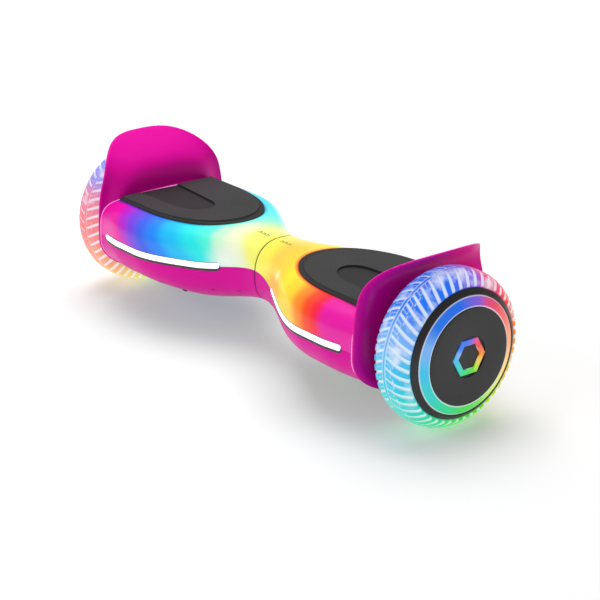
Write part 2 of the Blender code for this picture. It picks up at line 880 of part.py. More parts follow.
def make_wheel(side, half, wheel):
    name = half_name(side)
    half_tyre = tyre_width / 2
    wheel_piece(name + "_tyre", tyre_profile(), True, TYRE_ROUND, side, wheel, (CLEAR, 0.25))
    cap_top = half_tyre + light_ring_rise
    face = cap_top - cap_depth
    make_hub_face(name, side, wheel, face, cap_top)

    drum_radius = tyre_bore - fit
    drum_top = face - fit
    drum_low = -half_tyre + 0.0004
    web_low = drum_top - drum_web
    seat = bearing_outer + fit
    outer_bearing_top = drum_top - bearing_recess
    boss_low = outer_bearing_top - bearing_length - bearing_lip
    boss = seat + drum_hub_wall
    drum = [
        (drum_radius, drum_low), (drum_radius, drum_top), (seat, drum_top), (seat, boss_low),
        (boss, boss_low), (boss, web_low), (drum_inner, web_low), (drum_inner, drum_low)]
    wheel_piece(name + "_wheel_rim", drum, True, LARGE_ROUND, side, wheel, (ALLOY, 0.35, 0.9))

    cover_low = -half_tyre - 0.0001
    outer, spigot = drum_radius - cover_rebate, cover_boss - 0.001
    cover_back, boss_back = cover_low - cover_thickness, cover_low - cover_thickness - cover_boss_rise
    cover = [
        (outer, cover_low), (outer, cover_back), (cover_boss, cover_back), (cover_boss, boss_back),
        (seat, boss_back), (seat, cover_low + cover_spigot), (spigot, cover_low + cover_spigot),
        (spigot, cover_low)]
    wheel_piece(name + "_motor_cover", cover, True, LARGE_ROUND, side, wheel, (ALLOY, 0.4, 0.9))
    bore = axle_radius + fit
    for label, top in (("inner", cover_low + cover_spigot - 0.0009), ("outer", outer_bearing_top)):
        race = ring_profile(bore, bearing_outer, top - bearing_length, top)
        wheel_piece(name + "_" + label + "_bearing", race, True, SMALL_ROUND, side, wheel, (STEEL, 0.3, 1.0))

    magnet_outer = drum_inner - fit
    magnet_inner = magnet_outer - magnet_thickness
    middle = (web_low + cover_low) / 2
    magnets = ring_profile(magnet_inner, magnet_outer, middle - magnet_length / 2, middle + magnet_length / 2)
    wheel_piece(name + "_magnet_ring", magnets, True, LARGE_ROUND, side, wheel, (STEEL, 0.4, 0.8))
    make_axle(name, side, half, middle, outer_bearing_top + 0.0008)
    make_stator(side, half, magnet_inner - air_gap, middle)


def make_hub_face(name, side, wheel, face, cap_top):
    """The trim ring, the light ring, the cap and the cap's hexagon, on the wheel's outer side."""
    half_tyre = tyre_width / 2
    drum_radius = tyre_bore - fit
    ring_top = half_tyre + hub_ring_rise
    ring = [(hub_ring_inner, face), (drum_radius, face), (drum_radius, half_tyre), (hub_ring_inner, ring_top)]
    wheel_piece(name + "_hub_ring", ring, True, LARGE_ROUND, side, wheel, (BLACK, 0.35))
    light_outer = hub_ring_inner - fit
    light = [
        (light_ring_inner, face), (light_outer, face), (light_outer, ring_top),
        (light_ring_inner, cap_top - 0.0004)]
    wheel_piece(name + "_light_ring", light, True, LARGE_ROUND, side, wheel, (CLEAR, 0.2))
    cap_radius = light_ring_inner - fit
    pocket = cap_top - emblem_depth - fit
    cap = [
        (0.0, pocket), (emblem_radius + fit, pocket), (emblem_radius + fit, cap_top),
        (cap_radius - cap_edge, cap_top), (cap_radius, cap_top - cap_edge), (cap_radius, face),
        (cap_radius - cap_wall, face), (cap_radius - cap_wall, pocket - cap_wall), (0.0, pocket - cap_wall)]
    wheel_piece(name + "_hub_cap", cap, False, LARGE_ROUND, side, wheel, (BLACK, 0.25))
    emblem = ring_profile(emblem_radius * 0.68, emblem_radius * 0.98, pocket + fit, cap_top)
    wheel_piece(name + "_hub_emblem", emblem, True, 6, side, wheel, (CLEAR, 0.2))


def make_axle(name, side, half, middle, top):
    collar = stator_length / 2 + 0.001
    axle = [
        (0.0, top), (axle_radius, top), (axle_radius, middle + collar), (axle_collar, middle + collar),
        (axle_collar, middle - collar), (axle_radius, middle - collar), (axle_radius, -axle_reach),
        (0.0, -axle_reach)]
    mesh = turned_mesh("axle", axle, False, SMALL_ROUND, wheel_matrix(side))
    ride_on(part(name + "_axle", mesh, STEEL, 0.3, 1.0), half)


def make_stator(side, half, radius, middle):
    """Laminated star of teeth, drawn flat and set across the axle."""
    outline = []
    for i in range(stator_teeth):
        start = 2 * math.pi * i / stator_teeth
        pitch = 2 * math.pi / stator_teeth
        for share, reach in ((0.06, radius), (0.94, radius), (0.62, radius - 0.004), (0.62, radius * 0.62),
                             (1.38, radius * 0.62), (1.38, radius - 0.004)):
            angle = start + pitch * share
            outline.append((reach * math.cos(angle), reach * math.sin(angle)))
    hole = []
    for i in range(SMALL_ROUND):
        angle = 2 * math.pi * i / SMALL_ROUND
        hole.append(((axle_collar + fit) * math.cos(angle), (axle_collar + fit) * math.sin(angle)))
    mesh = plate(
        "stator", [outline, hole], middle - stator_length / 2, middle + stator_length / 2, wheel_matrix(side))
    ride_on(part(half_name(side) + "_stator", mesh, (0.55, 0.25, 0.08), 0.5, 0.6, False), half)


# ---------------------------------------------------------------- centre pivot

def along_pivot(name, profile, look, segments=20):
    towards_x = Matrix.Translation((0, 0, pivot_height)) @ Matrix.Rotation(math.radians(90), 4, "Y")
    return part(name, turned_mesh(name, profile, True, segments, towards_x), *look)


def make_pivot(left, right):
    tube = ring_profile(tube_inner, tube_outer, -tube_half_length, tube_half_length)
    ride_on(along_pivot("pivot_tube", tube, (STEEL, 0.3, 1.0)), left)
    washer = ring_profile(tube_outer + fit, washer_radius, -washer_thickness / 2, washer_thickness / 2)
    ride_on(along_pivot("pivot_washer", washer, ((0.02, 0.02, 0.02), 0.5)), left)
    inner_start = washer_thickness / 2 + 2 * fit
    outer_start = neck_end - bush_length - 0.001
    for label, start in (("inner", inner_start), ("outer", outer_start)):
        bush = ring_profile(tube_outer + fit, bush_outer, start, start + bush_length)
        ride_on(along_pivot("pivot_" + label + "_bush", bush, ((0.55, 0.35, 0.12), 0.4, 0.8)), right)
    clip_start = outer_start + bush_length + fit
    clip = along_pivot(
        "pivot_circlip", ring_profile(tube_outer + fit, bush_outer - 0.0005, clip_start, clip_start + 0.0013),
        (STEEL, 0.3, 1.0))
    cut(clip, box(
        "clip_gap", (clip_start - 0.002, -0.003, pivot_height),
        (clip_start + 0.004, 0.003, pivot_height + 2 * bush_outer)))
    ride_on(clip, left)


def make_harness(left):
    """The lead bundle that lies in the tube and runs on over the battery to its plug."""
    height = pivot_height - tube_inner + harness_radius + fit
    plug = -battery_centre + bracket_width / 2 + 0.004
    start = (plug + 0.006, 0.0, height)
    end = (tube_half_length + 0.004, 0.0, height)
    harness = part("pivot_harness", rod("bundle", start, end, harness_radius, 12), BLACK, 0.6)
    low = battery_floor + battery_size[2] + fit
    join(harness, box("plug", (plug, -0.0070, low), (plug + 0.012, 0.0070, height + 0.0030)))
    ride_on(harness, left)


# ---------------------------------------------------------------- electrics

def make_battery(left):
    length, width, height = battery_size
    low = (-battery_centre - length / 2, -width / 2, battery_floor)
    high = (-battery_centre + length / 2, width / 2, battery_floor + height - fit)
    battery = part("battery_pack", box("battery", low, high), (0.02, 0.10, 0.45), 0.5)
    bevel = battery.modifiers.new("Edge", "BEVEL")
    bevel.width = 0.003
    bevel.segments = 2
    ride_on(battery, left)
    top = battery_floor + height + fit
    bracket = part("battery_bracket", box(
        "bracket", (-battery_centre - bracket_width / 2, -bracket_half_span, top),
        (-battery_centre + bracket_width / 2, bracket_half_span, top + bracket_thickness)), STEEL, 0.4, 0.8)
    ride_on(bracket, left)


def make_controller(right):
    low = board_post_height + fit
    top = low + heat_sink_thickness
    start, end = controller_ends
    sink = box("sink", (start, -controller_half_width, low), (end, controller_half_width, top))
    board = part("main_board", sink, GREEN_BOARD, 0.6)
    circuit_low, circuit_top = top + circuit_gap, top + circuit_gap + board_thickness
    join(board, box(
        "spacer", (start + 0.008, -0.020, top - 0.001), (end - 0.008, -0.014, circuit_low + 0.0005)))
    join(board, box(
        "circuit", (start + circuit_margin, -controller_half_width + circuit_margin, circuit_low),
        (end - circuit_margin, controller_half_width - circuit_margin, circuit_top)))
    for x in capacitor_places:
        join(board, rod(
            "capacitor", (x, 0.018, circuit_top - 0.0006), (x, 0.018, circuit_top + capacitor_height),
            capacitor_radius, 12))
    join(board, box("sockets", (0.146, -0.026, circuit_top - 0.0006), (0.170, 0.010, circuit_top + 0.0075)))
    ride_on(board, right)
    spot = Matrix.Translation((speaker_x, 0.0, board_post_height + fit))
    profile = [
        (0.0, 0.010), (0.0070, 0.010), (0.0070, 0.005), (0.0140, 0.001), (0.0140, -0.0022), (0.0120, -0.0022),
        (0.0055, 0.0), (0.0, 0.0)]
    ride_on(part("speaker", turned_mesh("speaker", profile, False, SMALL_ROUND, spot), BLACK, 0.6), right)


def fitting_body(radius, flange, wall, bore, floor, back):
    """A blind socket with a flange behind the skin; depths are measured from its seat."""
    step, foot = -fitting_flange_depth, -fitting_flange_depth - fitting_flange_thickness
    neck, end = bore + wall, -floor - back
    return [
        (0.0, -floor), (bore, -floor), (bore, fitting_mouth), (radius, fitting_mouth), (radius, step),
        (flange, step), (flange, foot), (neck, foot), (neck, end), (0.0, end)]


def make_port(right, cap_carrier):
    frame = fitting_matrix(port_x)
    profile = fitting_body(socket_radius, socket_flange, socket_wall, socket_bore, socket_floor, socket_back)
    socket = part("charging_socket", turned_mesh("socket", profile, False, 20, frame), BLACK, 0.4)
    for i in range(3):
        angle = 2 * math.pi * i / 3 + math.pi / 2
        x, y = pin_circle * math.cos(angle), pin_circle * math.sin(angle)
        start, end = frame @ Vector((x, y, -socket_floor - 0.001)), frame @ Vector((x, y, -pin_tip))
        join(socket, rod("pin", start, end, pin_radius, 8))
    ride_on(socket, right)

    hinge = port_hinge()
    low = fitting_mouth + fit
    plug = socket_bore - 0.0005
    lid = [
        (0.0, low + cap_thickness), (cap_radius, low + cap_thickness), (cap_radius, low), (plug, low),
        (plug, -cap_plug_depth), (0.0, -cap_plug_depth)]
    cap = part("port_cap", turned_mesh("cap", lid, False, 20, frame), BLACK, 0.8)
    strap = box(
        "strap", (-strap_half_width, cap_radius - 0.0026, low + 0.0001),
        (strap_half_width, hinge_lift, low + cap_thickness - 0.0001))
    strap.transform(frame)
    join(cap, strap)
    half = frame.to_3x3() @ Vector((hinge_half_length, 0, 0))
    join(cap, rod("knuckle", hinge - half, hinge + half, hinge_radius, 12))
    ride_on(cap, cap_carrier)


def port_hinge():
    """The flap's hinge: a line along X, just above the socket's rim."""
    return fitting_matrix(port_x) @ Vector((0.0, hinge_lift, hinge_out))


def make_button(right, button_carrier):
    frame = fitting_matrix(button_x)
    profile = fitting_body(switch_radius, switch_flange, switch_wall, switch_bore, switch_floor, switch_back)
    ride_on(part("power_switch", turned_mesh("switch", profile, False, 20, frame), STEEL, 0.35, 0.8), right)
    foot = -switch_floor + button_travel + 2 * fit
    key = [
        (0.0, button_proud), (button_radius - button_edge, button_proud),
        (button_radius, button_proud - button_edge), (button_radius, foot), (0.0, foot)]
    ride_on(part("power_button", turned_mesh("button", key, False, 20, frame), BLACK, 0.4), button_carrier)


# ---------------------------------------------------------------- the whole board

left_half = joint_empty("left_half_axis", (0, 0, 0))
right_half = joint_empty("right_half_axis", (0, 0, pivot_height), left_half)
for side, half in ((-1, left_half), (1, right_half)):
    wheel_axis = joint_empty(half_name(side) + "_wheel_axis", (side * wheel_offset, 0, axle_height), half)
    pedal_axis = joint_empty(half_name(side) + "_pedal_axis", (side * plunger_x, 0, pad_top), half)
    make_shells(side, half)
    make_fender(side, half)
    make_pad(side, pedal_axis)
    make_lights(side, half)
    make_frame(side, half)
    make_wheel(side, half, wheel_axis)
make_pivot(left_half, right_half)
make_harness(left_half)
make_battery(left_half)
make_controller(right_half)
make_port(right_half, joint_empty("port_cap_axis", port_hinge(), right_half))
make_button(right_half, joint_empty("power_button_axis", skin_frame(button_x, fitting_height)[0], right_half))
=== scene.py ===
"""A self-balancing board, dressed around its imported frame.

X runs along the axles, the light bars face -Y and the wheels stand on Z = 0. Every moulding is drawn
for the +X half in the body's own formulas, and its mirror image serves the -X half.
"""
import math

import bmesh
import bpy
from mathutils import Matrix, Vector


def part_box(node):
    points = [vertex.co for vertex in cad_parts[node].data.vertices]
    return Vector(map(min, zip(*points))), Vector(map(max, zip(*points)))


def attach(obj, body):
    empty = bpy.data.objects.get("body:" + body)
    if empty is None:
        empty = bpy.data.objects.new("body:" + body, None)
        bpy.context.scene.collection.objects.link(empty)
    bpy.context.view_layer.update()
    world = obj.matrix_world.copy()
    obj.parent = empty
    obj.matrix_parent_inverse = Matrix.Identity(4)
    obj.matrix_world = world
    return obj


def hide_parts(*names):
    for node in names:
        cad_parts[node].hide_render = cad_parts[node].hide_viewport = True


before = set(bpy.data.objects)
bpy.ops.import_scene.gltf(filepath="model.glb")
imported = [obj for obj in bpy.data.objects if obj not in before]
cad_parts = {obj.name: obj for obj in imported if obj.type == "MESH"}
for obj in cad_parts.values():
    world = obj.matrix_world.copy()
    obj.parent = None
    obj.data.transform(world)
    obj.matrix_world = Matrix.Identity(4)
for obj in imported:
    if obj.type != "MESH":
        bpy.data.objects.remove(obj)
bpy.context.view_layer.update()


# ---------------------------------------------------------------- frame castings and running gear
# Two bead-blasted die castings carry the axles, the boards and the pivot. Axles, clamps, bearings and the
# pivot tube are turned steel; the bushes are bronze. All of it keeps its frame shape, and the shells and the
# wheels hide most of it.

HALVES = (("right", 1), ("left", -1))


def finish(name, colour, roughness, metallic=0.0):
    """A new material with its plain values set, ready for its own grain."""
    material = bpy.data.materials.new(name)
    material.use_nodes = True
    shader = material.node_tree.nodes["Principled BSDF"]
    shader.inputs["Base Color"].default_value = (*colour, 1.0)
    shader.inputs["Roughness"].default_value = roughness
    shader.inputs["Metallic"].default_value = metallic
    return material, material.node_tree.nodes, material.node_tree.links, shader


def grain(nodes, links, shader, scale, height, stretch=(1.0, 1.0, 1.0), detail=4.0):
    """Fine relief that follows the piece, from noise of this scale; returns the noise."""
    place = nodes.new("ShaderNodeTexCoord")
    size = nodes.new("ShaderNodeMapping")
    size.inputs["Scale"].default_value = stretch
    noise = nodes.new("ShaderNodeTexNoise")
    noise.inputs["Scale"].default_value = scale
    noise.inputs["Detail"].default_value = detail
    bump = nodes.new("ShaderNodeBump")
    bump.inputs["Distance"].default_value = height
    bump.inputs["Strength"].default_value = 0.6
    links.new(place.outputs["Object"], size.inputs["Vector"])
    links.new(size.outputs["Vector"], noise.inputs["Vector"])
    links.new(noise.outputs["Fac"], bump.inputs["Height"])
    links.new(bump.outputs["Normal"], shader.inputs["Normal"])
    return noise


def remap(nodes, links, source, start, end, low=0.0, high=1.0, eased=False):
    """The source value carried from the span start to end over to the span low to high, and kept in it."""
    span = nodes.new("ShaderNodeMapRange")
    span.interpolation_type = "SMOOTHSTEP" if eased else "LINEAR"
    for name, value in (("From Min", start), ("From Max", end), ("To Min", low), ("To Max", high)):
        span.inputs[name].default_value = value
    links.new(source, span.inputs["Value"])
    return span.outputs["Result"]


def spread(nodes, links, source, socket, low, high):
    """Lets the noise, most of which lies between 0.3 and 0.7, move a value of the shader."""
    links.new(remap(nodes, links, source, 0.3, 0.7, low, high), socket)


def metal(name, colour, roughness, scale, height, stretch=(1.0, 1.0, 1.0)):
    """Bare metal with a fine relief; stretch draws the relief out into turning or winding marks."""
    material, nodes, links, shader = finish(name, colour, roughness, 1.0)
    noise = grain(nodes, links, shader, scale, height, stretch)
    spread(nodes, links, noise.outputs["Fac"], shader.inputs["Roughness"], roughness * 0.8, roughness * 1.3)
    return material


def dress(material, *names):
    """Gives nodes that keep their frame shape their own finish."""
    for name in names:
        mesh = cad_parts[name].data
        mesh.materials.clear()
        mesh.materials.append(material)


cast_alloy = metal("cast_alloy", (0.56, 0.57, 0.59), 0.48, 900.0, 0.0002)
turned_steel = metal("turned_steel", (0.52, 0.52, 0.54), 0.28, 240.0, 0.00008, (14.0, 1.0, 1.0))
bush_bronze = metal("bush_bronze", (0.55, 0.36, 0.14), 0.33, 300.0, 0.00008, (12.0, 1.0, 1.0))
copper_windings = metal("copper_windings", (0.62, 0.27, 0.09), 0.38, 160.0, 0.0004, (1.0, 6.0, 6.0))
for side, _ in HALVES:
    dress(cast_alloy, side + "_frame", side + "_motor_cover", side + "_wheel_rim")
    dress(turned_steel, side + "_axle", side + "_axle_clamp", side + "_magnet_ring")
    dress(turned_steel, side + "_inner_bearing", side + "_outer_bearing")
    dress(copper_windings, side + "_stator")
dress(turned_steel, "pivot_tube", "pivot_circlip", "battery_bracket")
dress(bush_bronze, "pivot_inner_bush", "pivot_outer_bush")


# ---------------------------------------------------------------- boards, battery and leads
# Green glass-fibre boards with copper tracks under the lacquer, a battery in blue shrink wrap, and the black
# lead bundle that runs through the pivot tube. All of it keeps its frame shape.


def circuit_green():
    """Lacquered board with a raster of paler tracks."""
    material, nodes, links, shader = finish("circuit_green", (0.015, 0.13, 0.05), 0.35)
    place = nodes.new("ShaderNodeTexCoord")
    tracks = nodes.new("ShaderNodeTexBrick")
    tracks.inputs["Scale"].default_value = 160.0
    tracks.inputs["Mortar Size"].default_value = 0.06
    tracks.inputs["Color1"].default_value = (0.015, 0.13, 0.05, 1.0)
    tracks.inputs["Color2"].default_value = (0.02, 0.17, 0.07, 1.0)
    tracks.inputs["Mortar"].default_value = (0.10, 0.33, 0.12, 1.0)
    links.new(place.outputs["Object"], tracks.inputs["Vector"])
    links.new(tracks.outputs["Color"], shader.inputs["Base Color"])
    return material


def matte_plastic(name, colour, roughness, scale=1400.0, height=0.00006):
    """Moulded plastic or rubber with a fine spark-eroded surface."""
    material, nodes, links, shader = finish(name, colour, roughness)
    noise = grain(nodes, links, shader, scale, height)
    spread(nodes, links, noise.outputs["Fac"], shader.inputs["Roughness"], roughness * 0.9, roughness * 1.1)
    return material


board_green = circuit_green()
black_nylon = matte_plastic("black_nylon", (0.02, 0.02, 0.022), 0.5)
battery_blue = matte_plastic("battery_blue", (0.02, 0.09, 0.40), 0.28, 90.0, 0.0006)
lead_black = matte_plastic("lead_black", (0.015, 0.015, 0.016), 0.55)
for side, _ in HALVES:
    dress(board_green, side + "_gyro_board", side + "_headlight_board")
    dress(black_nylon, side + "_front_plunger", side + "_rear_plunger")
dress(board_green, "main_board")
dress(black_nylon, "pivot_washer", "speaker")
dress(battery_blue, "battery_pack")
dress(lead_black, "pivot_harness")


# ---------------------------------------------------------------- shells
# Two satin mouldings to each half, 2.5 mm thick, that meet along a line at light-bar height. The upper one is
# a milky translucent plastic lit from inside by a rainbow strip; the lower one is solid magenta.


def corners(node):
    """The lowest and highest corners of a frame node, to a hundredth of a millimetre."""
    return [[round(value, 5) for value in corner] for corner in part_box(node)]


def middle_and_span(low, high):
    """The middle of two values and how far apart they are, to a hundredth of a millimetre."""
    return round((low + high) / 2, 5), round(high - low, 5)


tyre_low, tyre_high = corners("right_tyre")
wheel_offset, tyre_width = middle_and_span(tyre_low[0], tyre_high[0])
wheel_radius = middle_and_span(tyre_low[2], tyre_high[2])[0]
waist_half_width, shoulder_half_width, rim_half_width = 0.0361, 0.0925, 0.0868
shoulder_reach, tuck_start, fender_plane = 0.150, 0.180, 0.2285
waist_top, deck_top, deck_reach = 0.1235, 0.1246, 0.080
waist_bottom, belly_bottom, belly_reach = 0.0504, 0.0295, 0.110
waist_parting, bar_parting, parting_reach = 0.0924, 0.0830, 0.075
waist_exponent, deck_exponent, belly_exponent, exponent_reach = 2.41, 4.2, 2.05, 0.120
pivot_height, rim_centre_height = 0.0870, 0.0777
shell_wall, seam_gap, seam_edge = 0.0025, 0.0016, 0.0010
body_start, body_end, overrun = 0.005, 0.232, 0.004
pocket_floor, pocket_gap, above_deck = 0.1196, 0.0008, 0.140
ceiling_start, ceiling_run = 0.035, 0.020
RING = 144


def smooth(t):
    """0 below 0, 1 above 1 and an even curve between."""
    t = min(max(t, 0.0), 1.0)
    return t * t * (3.0 - 2.0 * t)


def between(a, b, t):
    return a + (b - a) * t


def half_width(x):
    """Half the body's width at this distance from the seam."""
    widening = between(waist_half_width, shoulder_half_width, smooth(x / shoulder_reach))
    tuck = smooth((x - tuck_start) / (fender_plane - tuck_start))
    return widening - (shoulder_half_width - rim_half_width) * tuck


def middle_height(x):
    return between(pivot_height, rim_centre_height, min(max(x, 0.0) / fender_plane, 1.0))


def top_height(x):
    return between(waist_top, deck_top, smooth(x / deck_reach))


def bottom_height(x):
    return between(waist_bottom, belly_bottom, smooth(x / belly_reach))


def parting_height(x):
    return between(waist_parting, bar_parting, smooth(x / parting_reach))


def exponents(x):
    """How square the section is above its middle and below it; 2 is an ellipse."""
    share = smooth(x / exponent_reach)
    return between(waist_exponent, deck_exponent, share), between(waist_exponent, belly_exponent, share)


def squared_circle(width, height, exponent, angle):
    """A point on a superellipse of these half sizes."""
    c, s = math.cos(angle), math.sin(angle)
    y = width * math.copysign(abs(c) ** (2 / exponent), c)
    z = height * math.copysign(abs(s) ** (2 / exponent), s)
    return y, z


def body_ring(x, inset=0.0, ceiling=None):
    """One section of the body, square across X; ceiling holds its top down under the deck."""
    upper, lower = exponents(x)
    width, middle = half_width(x) - inset, middle_height(x)
    top, bottom = top_height(x) - inset, bottom_height(x) + inset
    if ceiling:
        top = between(top, min(top, ceiling), smooth((x - ceiling_start) / ceiling_run))
    ring = []
    for i in range(RING):
        angle = 2 * math.pi * (i + 0.5) / RING
        if math.sin(angle) >= 0:
            y, z = squared_circle(width, top - middle, upper, angle)
        else:
            y, z = squared_circle(width, middle - bottom, lower, angle)
        ring.append((x, y, middle + z))
    return ring


def skin_y(x, z):
    """How far the skin lies from the middle plane at this place."""
    upper, lower = exponents(x)
    middle = middle_height(x)
    if z >= middle:
        share, exponent = (z - middle) / (top_height(x) - middle), upper
    else:
        share, exponent = (middle - z) / (middle - bottom_height(x)), lower
    return half_width(x) * (1 - min(share, 1.0) ** exponent) ** (1 / exponent)


def belly_z(x, y):
    """The height of the underside at this place."""
    lower = exponents(x)[1]
    share = min(abs(y) / half_width(x), 1.0)
    return middle_height(x) - (middle_height(x) - bottom_height(x)) * (1 - share ** lower) ** (1 / lower)


def skin(name, rows, ends=True, joined=False):
    """Rows of points that each close on themselves, joined in order; joined links the last to the first."""
    count = len(rows[0])
    faces = []
    for row in range(len(rows) - (0 if joined else 1)):
        a, b = row * count, (row + 1) % len(rows) * count
        faces += [(a + i, a + (i + 1) % count, b + (i + 1) % count, b + i) for i in range(count)]
    if ends and not joined:
        last = (len(rows) - 1) * count
        faces.append(tuple(range(count)))
        faces.append(tuple(reversed(range(last, last + count))))
    mesh = bpy.data.meshes.new(name)
    mesh.from_pydata([point for row in rows for point in row], [], faces)
    return tidy(mesh)


def tidy(mesh):
    """Faces turned outwards and doubled points merged."""
    shape = bmesh.new()
    shape.from_mesh(mesh)
    bmesh.ops.remove_doubles(shape, verts=shape.verts, dist=0.000001)
    bmesh.ops.recalc_face_normals(shape, faces=shape.faces)
    shape.to_mesh(mesh)
    shape.free()
    return mesh


def put(name, mesh):
    item = bpy.data.objects.new(name, mesh)
    bpy.context.scene.collection.objects.link(item)
    return item


def carve(mesh, tools, operation="DIFFERENCE"):
    """The mesh with each tool cut from it, joined to it or kept of it."""
    body = put("work", mesh)
    helpers = []
    for tool in tools:
        helper = put("tool", tool)
        modifier = body.modifiers.new("cut", "BOOLEAN")
        modifier.operation = operation
        modifier.solver = "EXACT"
        modifier.object = helper
        helpers.append(helper)
    bpy.context.view_layer.update()
    result = bpy.data.meshes.new_from_object(body.evaluated_get(bpy.context.evaluated_depsgraph_get()))
    for item in [body] + helpers:
        bpy.data.objects.remove(item, do_unlink=True)
    return tidy(result)


def handed(mesh, sign):
    """A copy of the +X half's mesh, or its mirror image for the -X half."""
    copy = mesh.copy()
    if sign < 0:
        copy.transform(Matrix.Diagonal((-1.0, 1.0, 1.0, 1.0)))
        copy.flip_normals()
    return copy


def moulding(name, mesh, material, body, replaces=(), sharp=32, tints=True):
    """A finished piece, smooth but for its sharp edges, on its body; tints lets it colour what is near it."""
    mesh.materials.clear()
    mesh.materials.append(material)
    mesh.shade_smooth()
    mesh.set_sharp_from_angle(angle=math.radians(sharp))
    item = put(name, mesh)
    item.visible_diffuse = tints
    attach(item, body)
    if replaces:
        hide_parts(*replaces)
    return item


def outline_block(name, outline, low, high, turn=Matrix.Identity(4)):
    """A flat outline given depth from low to high, then turned."""
    rows = [[(x, y, z) for x, y in outline] for z in (low, high)]
    mesh = skin(name, rows)
    mesh.transform(turn)
    return mesh


def stations(start, end, count):
    return [between(start, end, i / count) for i in range(count + 1)]


def body_solid():
    """The whole body of a half, its edge rounded where it meets the other half."""
    rows = []
    for turn in stations(90, 0, 4):
        angle = math.radians(turn)
        place = seam_gap / 2 + seam_edge * (1 - math.sin(angle))
        rows.append(body_ring(place, seam_edge * (1 - math.cos(angle))))
    rows += [body_ring(x) for x in stations(body_start, body_end, 72)]
    return skin("body", rows)


def body_hollow():
    """The room inside the shells, run past both ends to leave them open, and kept under the pad's pocket."""
    places = stations(-overrun, body_end + overrun, 48)
    return skin("hollow", [body_ring(x, shell_wall, pocket_floor - shell_wall) for x in places])


def parting_block(above):
    """All that lies above the parting line, or below it, with a hairline left between the two."""
    hairline, inner, outer, highest, deep = 0.0003, -0.010, 0.250, 0.200, 0.150
    steps = [inner] + stations(0.0, parting_reach, 15) + [outer]
    shift, far = (hairline / 2, highest) if above else (-hairline / 2, 0.0)
    outline = [(x, parting_height(x) + shift) for x in steps] + [(outer, far), (inner, far)]
    return outline_block("parting", outline, -deep, deep, Matrix.Rotation(math.radians(90), 4, "X"))


pad_low, pad_high = corners("right_footpad")
pad_tip, pad_end, pad_half, pad_top = pad_low[0], pad_high[0], pad_high[1], pad_high[2]
pad_shoulder, pad_exponent = 0.1622, 2.1


def pad_ring(gap, steps=72, tip_gap=None):
    """The pad's outline grown all round by the gap; tip_gap grows its rounded end by another amount."""
    tip = pad_tip - (gap if tip_gap is None else tip_gap)
    end, width = pad_end + gap, pad_half + gap
    outline = [(end, -width)]
    for i in range(steps + 1):
        angle = -math.pi / 2 + math.pi * i / steps
        x, y = squared_circle(pad_shoulder - tip, width, pad_exponent, angle)
        outline.append((pad_shoulder - x, y))
    return outline + [(end, width)]


bar_low, bar_high = corners("right_headlight_lens")
inner_end, outer_end = bar_low[0], bar_high[0]
bar_half, bar_crown, least_share = 0.0046, 0.0006, 0.08


def bar_rows(front, back, grow=0.0, radius=bar_half, over=0.0):
    """Sections of the light bar between two depths below the skin, with round ends."""
    turns = [1 - math.cos(math.radians(90 * i / 8)) for i in range(9)]
    places = [inner_end + radius * t for t in turns]
    places += stations(inner_end + radius, outer_end - radius, 40)[1:-1]
    places += [outer_end - radius * t for t in reversed(turns)]
    rows = []
    for x in places:
        t = 1 - min(min(x - inner_end, outer_end - x) / radius, 1.0)
        half = max(radius * math.sqrt(max(1 - t * t, 0.0)), radius * least_share) + grow
        x += grow * (1 if x > (inner_end + outer_end) / 2 else -1) * t
        middle = parting_height(x) + over
        top, bottom = middle + half, middle - half
        row = []
        for z in stations(top, bottom, 8):
            crown = bar_crown * (1 - ((z - middle) / half) ** 4)
            row.append((x, -(skin_y(x, z) - front + (crown if front < 0 else 0.0)), z))
        for z in stations(bottom, top, 1):
            row.append((x, -(skin_y(x, z) - back), z))
        rows.append(row)
    return rows


fender_top, fender_bottom, fender_half, fender_hole = 0.1840, 0.0276, 0.0878, 0.0220
arch_exponent, skirt_exponent = 2.97, 2.06
flare_start, flare_out, flare_power = 0.1353, 0.0412, 2.43
dish_depth, dish_start, dish_run = 0.0080, 0.0040, 0.0300


def flare(z):
    """How far out the fender stands at this height."""
    rise = max((z - flare_start) / (fender_top - flare_start), 0.0)
    return fender_plane + flare_out * rise ** flare_power


def fender_point(angle, share):
    """A point on the fender's outer face, from its rim (share 0) in to the axle hole (share 1)."""
    height, exponent = fender_top - rim_centre_height, arch_exponent
    if math.sin(angle) < 0:
        height, exponent = rim_centre_height - fender_bottom, skirt_exponent
    y, z = squared_circle(fender_half, height, exponent, angle)
    rim = Vector((y, z + rim_centre_height))
    hole = Vector((math.cos(angle) * fender_hole, math.sin(angle) * fender_hole + wheel_radius))
    spot = rim.lerp(hole, share)
    dish = dish_depth * smooth(((spot - rim).length - dish_start) / dish_run)
    return flare(spot.y) - dish, spot.x, spot.y


def fender_envelope():
    """The room behind the fender's face, which the shells leave free."""
    count, back, wide = 96, 0.0034, 1.3
    angles = [2 * math.pi * (i + 0.5) / count for i in range(count)]
    outer = []
    for angle in angles:
        x, y, z = fender_point(angle, 0.0)
        outer.append((x - back, y * wide, (z - rim_centre_height) * wide + rim_centre_height))
    rows = [[(0.300, y, z) for x, y, z in outer], outer]
    for share in (0.0, 0.04, 0.1, 0.18, 0.28, 0.4, 0.6, 0.8, 1.0):
        rows.append([(x - back, y, z) for x, y, z in (fender_point(angle, share) for angle in angles)])
    return skin("fender_room", rows)


def rod(start, end, radius, count=32):
    """A plain round bar, used as a drill."""
    start, end = Vector(start), Vector(end)
    shape = bmesh.new()
    bmesh.ops.create_cone(
        shape, cap_ends=True, segments=count, radius1=radius, radius2=radius, depth=(end - start).length)
    turn = Vector((0, 0, 1)).rotation_difference(end - start).to_matrix().to_4x4()
    shape.transform(Matrix.Translation((start + end) / 2) @ turn)
    mesh = bpy.data.meshes.new("rod")
    shape.to_mesh(mesh)
    shape.free()
    return mesh


